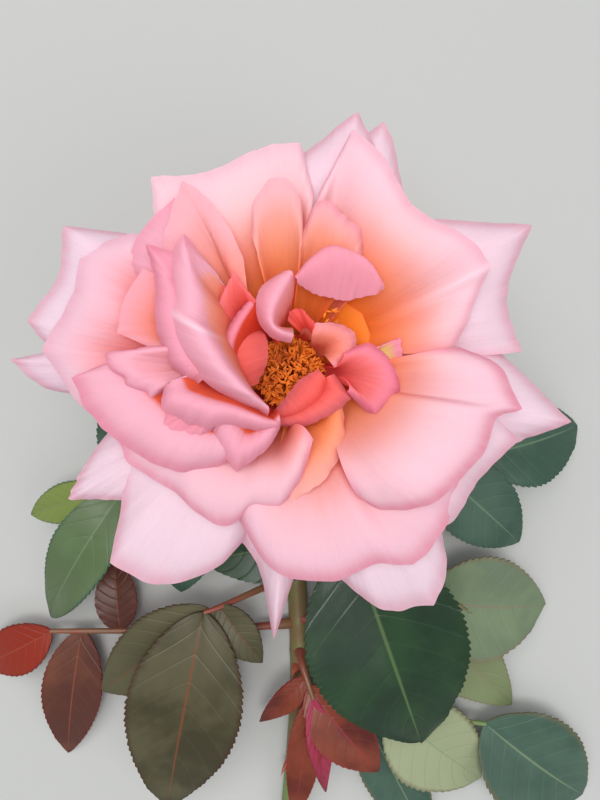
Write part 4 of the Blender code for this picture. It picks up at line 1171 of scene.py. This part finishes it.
def curve_at(points, marks, s, cornered):
    """A smooth curve through the points at s; a cornered one has a corner where they turn sharply."""
    last = len(points) - 1
    k = 0
    while k < last - 1 and marks[k + 1] < s:
        k += 1

    def slope(i, chord):
        if i in (0, last):
            return chord
        before = (points[i] - points[i - 1]) / (marks[i] - marks[i - 1])
        after = (points[i + 1] - points[i]) / (marks[i + 1] - marks[i])
        turn = math.degrees(before.angle(after))
        corner = smooth_step(*CORNER, turn) if cornered else 0.0
        return ((before + after) / 2).lerp(chord, corner)

    width = marks[k + 1] - marks[k]
    chord = (points[k + 1] - points[k]) / width
    u = (s - marks[k]) / width
    u2, u3 = u * u, u * u * u
    return (
        points[k] * (2 * u3 - 3 * u2 + 1)
        + slope(k, chord) * width * (u3 - 2 * u2 + u)
        + points[k + 1] * (3 * u2 - 2 * u3)
        + slope(k + 1, chord) * width * (u3 - u2)
    )


def petal_rails(whorl, crest, rim):
    """A petal's crest and rim as points, with the crest from its own points or from its share and rise."""
    if len(crest) > 2:
        return [[Vector((x, y, BLOOM_BASE + height)) for x, y, height in line] for line in (crest, rim)]
    share, over_rim = crest
    crest_points = []
    for bearing, reach, height in rim:
        crest_reach = reach - share * (reach - WHORLS[whorl]["radius"])
        crest_height = BLOOM_BASE + height + over_rim * reach / REACH_OF_CREST
        crest_points.append(polar(bearing, crest_reach, crest_height))
    return crest_points, [polar(bearing, reach, BLOOM_BASE + height) for bearing, reach, height in rim]


def bearing_of(point, near):
    angle = math.degrees(math.atan2(point.y, point.x))
    return angle + 360 * round((near - angle) / 360)


def petal_column(seat, steep, claw, crest, rim, t):
    """A petal's height line at t: up from the claw to the crest, then over it to the rim."""
    foot = polar(claw, seat["radius"], BLOOM_BASE + seat["height"])
    climb = polar((claw + bearing_of(crest, claw)) / 2, seat["radius"] + seat["out"], foot.z + seat["up"])
    rise = crest - climb
    roll = rim - crest
    lead = (rise.normalized() * steep + roll.normalized()).normalized()
    if t <= PETAL_CREST:
        return bezier(foot, climb, crest - lead * rise.length * CREST_BEFORE, crest, t / PETAL_CREST)
    bend = crest + lead * roll.length * CREST_AFTER
    return arc(crest, bend, rim, (t - PETAL_CREST) / (1 - PETAL_CREST))


def rim_moves(looks, s, t, seed):
    """How far a petal's ruffle, crease, folds and roll move its point up, and out."""
    ruffle = looks["ruffle"]
    broad, fine = RIM_WAVES
    wave = ripple(s * broad, 0.3, seed) + FINE_WAVES * ripple(s * fine, 1.7, seed)
    up = ruffle * RUFFLE_UP * wave * t**4
    notch = looks["scallop"] * abs(math.cos(math.pi * SCALLOPS * s)) ** 3
    out = ruffle * RUFFLE_OUT * ripple(s * RIM_CRINKLES, 4.1, seed) * t**8 - notch * t**6
    crease_at, step = looks["crease"]
    up -= step * smooth_step(crease_at, crease_at - CREASE_WIDE, s) * smooth_step(*CREASE_GROWS, t)
    broad, fine = FOLDS
    folds = ripple(s * broad, 0.6 * t, seed + 3.0) + FINE_FOLDS * ripple(s * fine, 0.8 * t, seed + 5.0)
    up += ruffle * RUFFLE_FOLDS * folds * smooth_step(*FOLDS_GROW, t)
    up -= looks["roll"] * smooth_step(ROLL_FROM, 1.0, t) ** 2
    return up, out


def petal_rule(whorl, steep, crest, rim, looks, seed):
    """The point of a petal at s across and t along."""
    seat = WHORLS[whorl]
    crest_points, rim_points = petal_rails(whorl, crest, rim)
    marks = curve_marks(rim_points)
    middle_point = sum(rim_points, Vector()) / len(rim_points)
    middle = math.degrees(math.atan2(middle_point.y, middle_point.x))
    bearings = [bearing_of(point, middle) for point in rim_points]
    anticlockwise = bearings[-1] > bearings[0]
    span = min(CLAW_MOST, CLAW_LEAST + CLAW_SHARE * (max(bearings) - min(bearings)))
    columns = {}

    def rule(s, t):
        key = round(s * PETAL_ACROSS)
        if key not in columns:
            share = s - 0.5 if anticlockwise else 0.5 - s
            crest_point = curve_at(crest_points, marks, s, False)
            columns[key] = (middle + span * share, crest_point, curve_at(rim_points, marks, s, True))
        claw, crest_point, rim_point = columns[key]
        outward = Vector((rim_point.x - crest_point.x, rim_point.y - crest_point.y, 0.0)).normalized()
        up, out = rim_moves(looks, s, t, seed)
        return petal_column(seat, steep, claw, crest_point, rim_point, t) + outward * out + Vector((0, 0, up))

    return rule


def store_edges(piece, looks):
    """Keeps how near each point is to the petal's rim, and a painted highlight line along its crease."""
    uv = piece.data.uv_layers["UVMap"].data
    crease_at, step = looks["crease"]
    edges = [0.0] * len(piece.data.vertices)
    crease_highlights = list(edges)
    for loop in piece.data.loops:
        u, v = uv[loop.index].uv
        side = (1.0 - smooth_step(0.0, SIDE_EDGE, min(u, 1.0 - u))) * smooth_step(*SIDES_TINTED, v)
        edges[loop.vertex_index] = looks["rim"] * max(smooth_step(ROLL_FROM, 1.0, v), side)
        if step:
            line = bell(1.0 - u - crease_at, CREASE_HIGHLIGHT_LINE)
            crease_highlights[loop.vertex_index] = line * smooth_step(*CREASE_HIGHLIGHT_SHOWS, v)
    store(piece, "edge", edges)
    store(piece, "crease", crease_highlights)


def make_petal(name, whorl, steep, crest, rim, seed, materials):
    looks = {**PLAIN_LOOKS, **WHORL_LOOKS[whorl], **PETAL_LOOKS.get(name, {})}
    rule = petal_rule(whorl, steep, crest, rim, looks, seed)
    piece = shaped_grid("petal_" + name, PETAL_ACROSS, PETAL_ALONG, rule)
    store_edges(piece, looks)
    for attribute in ("warm", "near", "coral", "cool", "deep", "inside", "green"):
        store_plain(piece, attribute, looks[attribute])
    store_plain(piece, "seed", seed * 1.7)
    thicken(piece, PETAL_THICK, materials)
    finish_piece(piece, "bloom")


def make_petals(materials):
    spread = {name: (whorl, 1.0, crest, rim) for name, (whorl, crest, rim) in PETALS.items()}
    for k, (name, shape) in enumerate({**spread, **FOLDED_PETALS}.items()):
        make_petal(name, *shape, float(k), materials)


def make_receptacle(material):
    """The orange cushion that the petals and the stamens stand on."""
    add = bpy.ops.mesh.primitive_uv_sphere_add
    piece = primitive("receptacle", add, segments=40, ring_count=20, radius=1.0)
    radius, tall, middle = RECEPTACLE
    for vertex in piece.data.vertices:
        x, y, z = vertex.co
        vertex.co = place((x * radius, y * radius, BLOOM_BASE + middle + tall * z))
    piece.data.shade_smooth()
    piece.data.materials.append(material)
    finish_piece(piece, "bloom")


def bean_shape():
    """One anther: a sphere drawn out, flattened and curled round."""
    bean = primitive("bean", bpy.ops.mesh.primitive_uv_sphere_add, segments=7, ring_count=6, radius=0.5)
    bpy.context.tool_settings.mesh_select_mode = (True, False, False)
    bpy.ops.object.mode_set(mode="EDIT")
    bpy.ops.mesh.select_all(action="SELECT")
    bpy.ops.transform.resize(value=BEAN_SIZE)
    bpy.ops.object.mode_set(mode="OBJECT")
    for vertex in bean.data.vertices:
        vertex.co.x += BEAN_CURL * vertex.co.z**2
    return take_shape(bean)


def turned(points, tilt, turn):
    """Points tipped from upright by tilt and then turned round the upright axis, in degrees."""
    a, b = math.radians(tilt), math.radians(turn)
    tip = np.array(((math.cos(a), 0, math.sin(a)), (0, 1, 0), (-math.sin(a), 0, math.cos(a))))
    spin = np.array(((math.cos(b), -math.sin(b), 0), (math.sin(b), math.cos(b), 0), (0, 0, 1)))
    return points @ tip.T @ spin.T


def make_stamens(filament, anther):
    """Curved filaments in rings, each with a curled anther on its tip."""
    chance = random.Random(11)
    thread_points, thread_faces = take_shape(ringed_cylinder("filament", 5, 3))
    bean_points, bean_faces = bean_shape()
    threads = []
    beans = []
    for k in range(STAMENS):
        share = math.sqrt((k + 0.5) / STAMENS)
        bearing = k * GOLDEN_ANGLE
        foot = polar(bearing, between(STAMEN_FOOT, share), BLOOM_BASE + STAMEN_BASE)
        tall = between(STAMEN_TALL, share) + chance.uniform(-TALL_VARIES, TALL_VARIES)
        reach = between(STAMEN_REACH, share) + chance.uniform(-REACH_VARIES, REACH_VARIES)
        top = polar(bearing + chance.uniform(-BEARING_VARIES, BEARING_VARIES), reach, foot.z + tall)
        lean = foot.lerp(top, 0.5) + Vector((0, 0, 1.0)) + polar(chance.uniform(0, 360), LEAN_VARIES, 0)
        thread = []
        for x, y, z in thread_points:
            t = z + 0.5
            thread.append(arc(foot, lean, top, t) + Vector((x, y, 0)) * between(FILAMENT_WIDE, t))
        threads.append(np.array(thread))
        tilt = chance.uniform(*ANTHER_TILT)
        size = chance.uniform(*ANTHER_SIZE)
        beans.append(turned(bean_points * size, tilt, chance.uniform(0, 360)) + np.array(top))
    for k in range(LOOSE_ANTHERS):
        aside, along = (chance.uniform(-most, most) for most in LOOSE_VARIES)
        spot = np.array(LOOSE_AT) + np.array((aside, along, 0.0))
        tilt = chance.uniform(*ANTHER_TILT)
        beans.append(turned(bean_points * ANTHER_SIZE[0], tilt, chance.uniform(0, 360)) + spot)
    finish_piece(joined_copies("filaments", threads, thread_faces, filament), "stamens")
    finish_piece(joined_copies("anthers", beans, bean_faces, anther), "stamens")


# ---- calyx, neck and stem ----


def make_hip(material):
    piece = ringed_cylinder("hip", 48, 19)
    depths = [depth for radius, depth in HIP]
    radii = [radius for radius, depth in HIP]
    for vertex in piece.data.vertices:
        depth = between((depths[0], depths[-1]), vertex.co.z + 0.5)
        radius = float(np.interp(-depth, [-d for d in depths], radii))
        vertex.co = place((vertex.co.x * radius, vertex.co.y * radius, BLOOM_BASE - depth))
    piece.data.shade_smooth()
    piece.data.materials.append(material)
    finish_piece(piece, "calyx")


def sepal_rule(k):
    """The point of a sepal, which reaches out from the hip and then bends down to its tip."""
    out = polar(SEPAL_FIRST + 360 / SEPALS * k, 1.0, 0.0)
    side = Vector((-out.y, out.x, 0.0))
    foot = out * (HIP[2][0] - SEPAL_SUNK) + Vector((0, 0, BLOOM_BASE - SEPAL_UNDER))
    over_hip = foot + out * 0.45 * SEPAL_LONG + Vector((0, 0, 2.0))
    tip = foot + out * 0.72 * SEPAL_LONG - Vector((0, 0, 0.55 * SEPAL_LONG))

    def rule(s, t):
        spine = bezier(foot, foot.lerp(over_hip, 0.7), over_hip, tip, t)
        taper = max(SEPAL_POINT, (1 - t) ** SEPAL_TAPER)
        half = SEPAL_WIDE / 2 * taper * (1 + 0.12 * ripple(t * 9, s, k + 30.0))
        swing = 2 * s - 1
        return spine - side * (half * swing) - Vector((0, 0, SEPAL_ROOF * abs(swing)))

    return rule


def make_sepals(materials):
    sepals = []
    for k in range(SEPALS):
        sepal = shaped_grid(f"sepal_{k}", 12, 36, sepal_rule(k))
        thicken(sepal, SEPAL_THICK, materials)
        sepals.append(sepal)
    finish_piece(join(sepals, "sepals"), "calyx")


def stem_radius(distance):
    along = max(0.0, (distance - NECK_BEND) / (STEM_END - NECK_BEND))
    return NECK_THIN + (STEM_THICK - NECK_THIN) * (STEM_START + (1 - STEM_START) * along)


def stem_centre(distance):
    along = (distance - NECK_BEND) / (STEM_END - NECK_BEND)
    sway = STEM_SWAY * math.sin(math.pi * along) ** 2
    return Vector((sway, -distance, stem_radius(distance)))


def tube(name, centres, radii, sides, material):
    """A tapered tube along a line of points, from a cylinder primitive cut into rings."""
    last = len(centres) - 1
    piece = ringed_cylinder(name, sides, last - 1)
    frames = []
    side = None
    for i, centre in enumerate(centres):
        along = (centres[min(i + 1, last)] - centres[max(i - 1, 0)]).normalized()
        if side is None:
            side = along.orthogonal().normalized()
        side = (side - along * side.dot(along)).normalized()
        frames.append((centre, side, along.cross(side)))
    for vertex in piece.data.vertices:
        ring = round((vertex.co.z + 0.5) * last)
        centre, side, other = frames[ring]
        vertex.co = place(centre + (side * vertex.co.x + other * vertex.co.y) * radii[ring])
    piece.data.shade_smooth()
    piece.data.set_sharp_from_angle(angle=math.radians(SHARP))
    piece.data.materials.append(material)
    return piece


def make_neck(bark):
    """A quarter turn from under the hip to the lying stem."""
    centres = []
    radii = []
    fall = NECK_TOP - stem_centre(NECK_BEND).z
    for k in range(NECK_STEPS + 1):
        angle = math.pi / 2 * k / NECK_STEPS
        centres.append(Vector((0.0, -NECK_BEND * (1 - math.cos(angle)), NECK_TOP - fall * math.sin(angle))))
        swell = 1 + 0.02 * ripple(k * 0.3, 0, 41.0)
        radii.append(between((NECK_THIN, stem_radius(NECK_BEND)), k / NECK_STEPS) * swell)
    finish_piece(tube("neck", centres, radii, NECK_SIDES, bark), "neck")


def make_stem(bark):
    """The lying stem, swollen at each leaf's joint, to its cut end."""
    centres = []
    radii = []
    joint_long, joint_swell = STEM_JOINT
    for k in range(STEM_STEPS + 1):
        distance = between((NECK_BEND + STEM_GAP, STEM_END - CUT_STRAIGHT), k / STEM_STEPS)
        joint = max(bell(distance - leaf["node"], joint_long) for leaf in LEAVES.values())
        centres.append(stem_centre(distance))
        uneven = 0.015 * ripple(distance * 0.12, 0, 43.0)
        radii.append(stem_radius(distance) * (1 + joint_swell * joint + uneven))
    centres.append(centres[-1] - Vector((0, CUT_STRAIGHT, 0)))
    radii.append(radii[-1])
    finish_piece(tube("stem_bark", centres, radii, STEM_SIDES, bark), "stem")


def make_prickles(material):
    """Prickles on both sides of the stem, each bent down towards the cut."""
    prickles = []
    shares = [i / PRICKLE_STEPS for i in range(PRICKLE_STEPS + 1)]
    for k in range(PRICKLES):
        distance = between(PRICKLES_AT, k / (PRICKLES - 1))
        lean = (1 if k % 2 else -1) * PRICKLE_LEAN * (0.4 + 0.15 * (k % 3))
        angle = math.radians(90 + lean)
        out = Vector((math.cos(angle), 0.0, math.sin(angle)))
        root = stem_centre(distance) + out * (stem_radius(distance) - PRICKLE_SUNK)
        tip = root + (out * 0.75 - Vector((0, 0.4, 0))) * PRICKLE_LONG
        bend = root + out * PRICKLE_LONG * 0.5
        line = [arc(root, bend, tip, t) for t in shares]
        radii = [PRICKLE_WIDE * (1 - t) ** 1.5 + PRICKLE_POINT for t in shares]
        prickles.append(tube(f"prickle_{k}", line, radii, THIN_SIDES, material))
    finish_piece(join(prickles, "prickles"), "stem")


# ---- leaves ----


def leaflet_width(t):
    low_down, full = LEAFLET_SHAPE
    return max(0.0, math.sin(math.pi * min(1.0, t) ** low_down)) ** full


def tooth_cut(share, t, teeth):
    """How far the margin is cut back at a tooth, as a share of the half width."""
    cut = TOOTH_DEEP * (1 - (t * teeth) % 1.0) * smooth_step(0.04, 0.12, t) * smooth_step(1.0, 0.94, t)
    return cut * smooth_step(*TOOTHED, share)


def blade_height(share, swing, t, width, seed):
    """How far a leaflet's blade stands over its plane: its keel, puffs, waves and midrib groove."""
    keel = LEAF_KEEL * width / 2 * leaflet_width(t) * share
    sweep, curve = VEIN_SWEEP
    swept = (t - sweep * share**curve) * VEIN_PAIRS
    come, go = PUFFED
    puff = abs(math.sin(math.pi * swept)) * smooth_step(*come, share) * (1 - smooth_step(*go, share))
    wave = ripple(t * 3.2, swing * 1.2, seed) * share
    rim_wave = ripple(t * 11.0, swing, seed + 2.0) * share**3
    groove = -bell(share, GROOVE_WIDE) * (1 - t)
    moves = ((LEAF_PUFF, puff), (LEAF_WAVE, wave), (LEAF_RIM_WAVE, rim_wave), (LEAF_GROOVE, groove))
    return keel + sum(high * move * width / full_width for (high, full_width), move in moves)


def leaflet_rule(foot, tip, width, rise, roll, seed):
    middle = foot.lerp(tip, 0.5) + Vector((0, 0, rise * 2))
    most, full_length, least = LEAF_TEETH
    teeth = max(least, round(most * (tip - foot).length / full_length))

    def rule(s, t):
        spine = arc(foot, middle, tip, t)
        along = ((middle - foot) * (1 - t) + (tip - middle) * t).normalized()
        side = along.cross(Vector((0, 0, 1))).normalized()
        up = side.cross(along)
        turn = math.radians(roll) * t
        side_turned = side * math.cos(turn) + up * math.sin(turn)
        up_turned = up * math.cos(turn) - side * math.sin(turn)
        swing = 1 - 2 * s
        share = abs(swing)
        reach = width / 2 * leaflet_width(t) * swing * (1 - tooth_cut(share, t, teeth))
        return spine + side_turned * reach + up_turned * blade_height(share, swing, t, width, seed)

    return rule


def rachis_centres(leaf):
    side = leaf["side"]
    out = Vector((side, 0, RACHIS_LEAN if side else 1.0)).normalized()
    start = stem_centre(leaf["node"]) + out * (stem_radius(leaf["node"]) + RACHIS_CLEAR)
    end = Vector(leaf["end"])
    lift = Vector((0, 0, leaf["rise"]))
    leaving = start + out * (end - start).length * RACHIS_PULL + lift
    arriving = end.lerp(start, RACHIS_PULL) + lift
    return [bezier(start, leaving, arriving, end, k / RACHIS_STEPS) for k in range(RACHIS_STEPS + 1)]


def place_on(centres, share):
    spot = share * (len(centres) - 1)
    k = min(int(spot), len(centres) - 2)
    return centres[k].lerp(centres[k + 1], spot - k)


def make_rachis(name, centres, material):
    """A leaf's stalk, swollen where it springs from the stem."""
    swell, swell_long = RACHIS_SWELL
    shares = [k / RACHIS_STEPS for k in range(RACHIS_STEPS + 1)]
    radii = [between((RACHIS_THICK, RACHIS_THIN), t) + swell * bell(t, swell_long) for t in shares]
    first = centres[0] - (centres[1] - centres[0]).normalized() * RACHIS_SUNK
    stalk = tube(name + "_stalk", [first, *centres[1:]], radii, THIN_SIDES, material)
    finish_piece(stalk, name)


def make_leaf(name, leaf, finishes, stalk):
    centres = rachis_centres(leaf)
    make_rachis(name, centres, stalk)
    blades = []
    for k, (share, tip, width, rise, roll) in enumerate(leaf["leaflets"]):
        tip = Vector(tip)
        foot = place_on(centres, share)
        foot = foot - (tip - foot).normalized() * LEAFLET_SUNK
        if k:
            foot.z -= SIDE_LOWER
        rule = leaflet_rule(foot, tip, width, rise, roll, k * 1.9 + leaf["node"])
        blade = shaped_grid(f"{name}_blade_{k}", LEAF_ACROSS, LEAF_ALONG, rule)
        store_plain(blade, "tint", LEAFLET_TINTS.get((name, k), 0.0))
        thicken(blade, LEAF_THICK, finishes)
        blades.append(blade)
    finish_piece(join(blades, name + "_blades"), name)


# ---- the studio ----


def make_floor():
    floor = primitive("floor", bpy.ops.mesh.primitive_plane_add, size=4.0, location=(0, 0, -0.0002))
    material, shader = new_material("floor")
    shader.inputs["Base Color"].default_value = colour(FLOOR_GREY)
    shader.inputs["Roughness"].default_value = 0.8
    floor.data.materials.append(material)


def make_lights():
    world = bpy.data.worlds.new("studio")
    world.use_nodes = True
    background = world.node_tree.nodes["Background"]
    background.inputs["Color"].default_value = SKY
    background.inputs["Strength"].default_value = SKY_STRENGTH
    bpy.context.scene.world = world
    bpy.context.scene.view_settings.view_transform = "Standard"
    for name, (where, size, power) in LIGHTS.items():
        bpy.ops.object.light_add(type="AREA", location=where)
        light = bpy.context.object
        light.name = name
        light.data.size = size
        light.data.energy = power
        aim = Vector(LIGHTS_AIM) - light.location
        light.rotation_euler = aim.to_track_quat("-Z", "Y").to_euler()


def make_camera():
    """Looks straight down on the bloom, which stands a little left of and above the middle."""
    data = bpy.data.cameras.new("camera")
    camera = bpy.data.objects.new("camera", data)
    bpy.context.scene.collection.objects.link(camera)
    data.lens = CAMERA_LENS
    data.sensor_width = CAMERA_SENSOR
    data.shift_x, data.shift_y = (pixels / FRAME_TALL for pixels in FRAME_SHIFT)
    data.clip_start = 0.01
    camera.location = AXIS + Vector((0, 0, CAMERA_HEIGHT)) * MM
    bpy.context.scene.camera = camera


def main():
    make_camera()
    finish = make_materials()
    make_petals((finish["petal_face"], finish["petal_reverse"]))
    make_receptacle(finish["receptacle_orange"])
    make_stamens(finish["filament"], finish["anther"])
    make_hip(finish["hip_green"])
    make_sepals((finish["sepal_face"], finish["sepal_back"]))
    make_neck(finish["bark"])
    make_stem(finish["bark"])
    make_prickles(finish["prickle"])
    for name, leaf in LEAVES.items():
        face, back, stalk = LEAF_LOOKS[name]
        make_leaf(name, leaf, (finish[face], finish[back]), finish[stalk])
    make_floor()
    make_lights()


main()
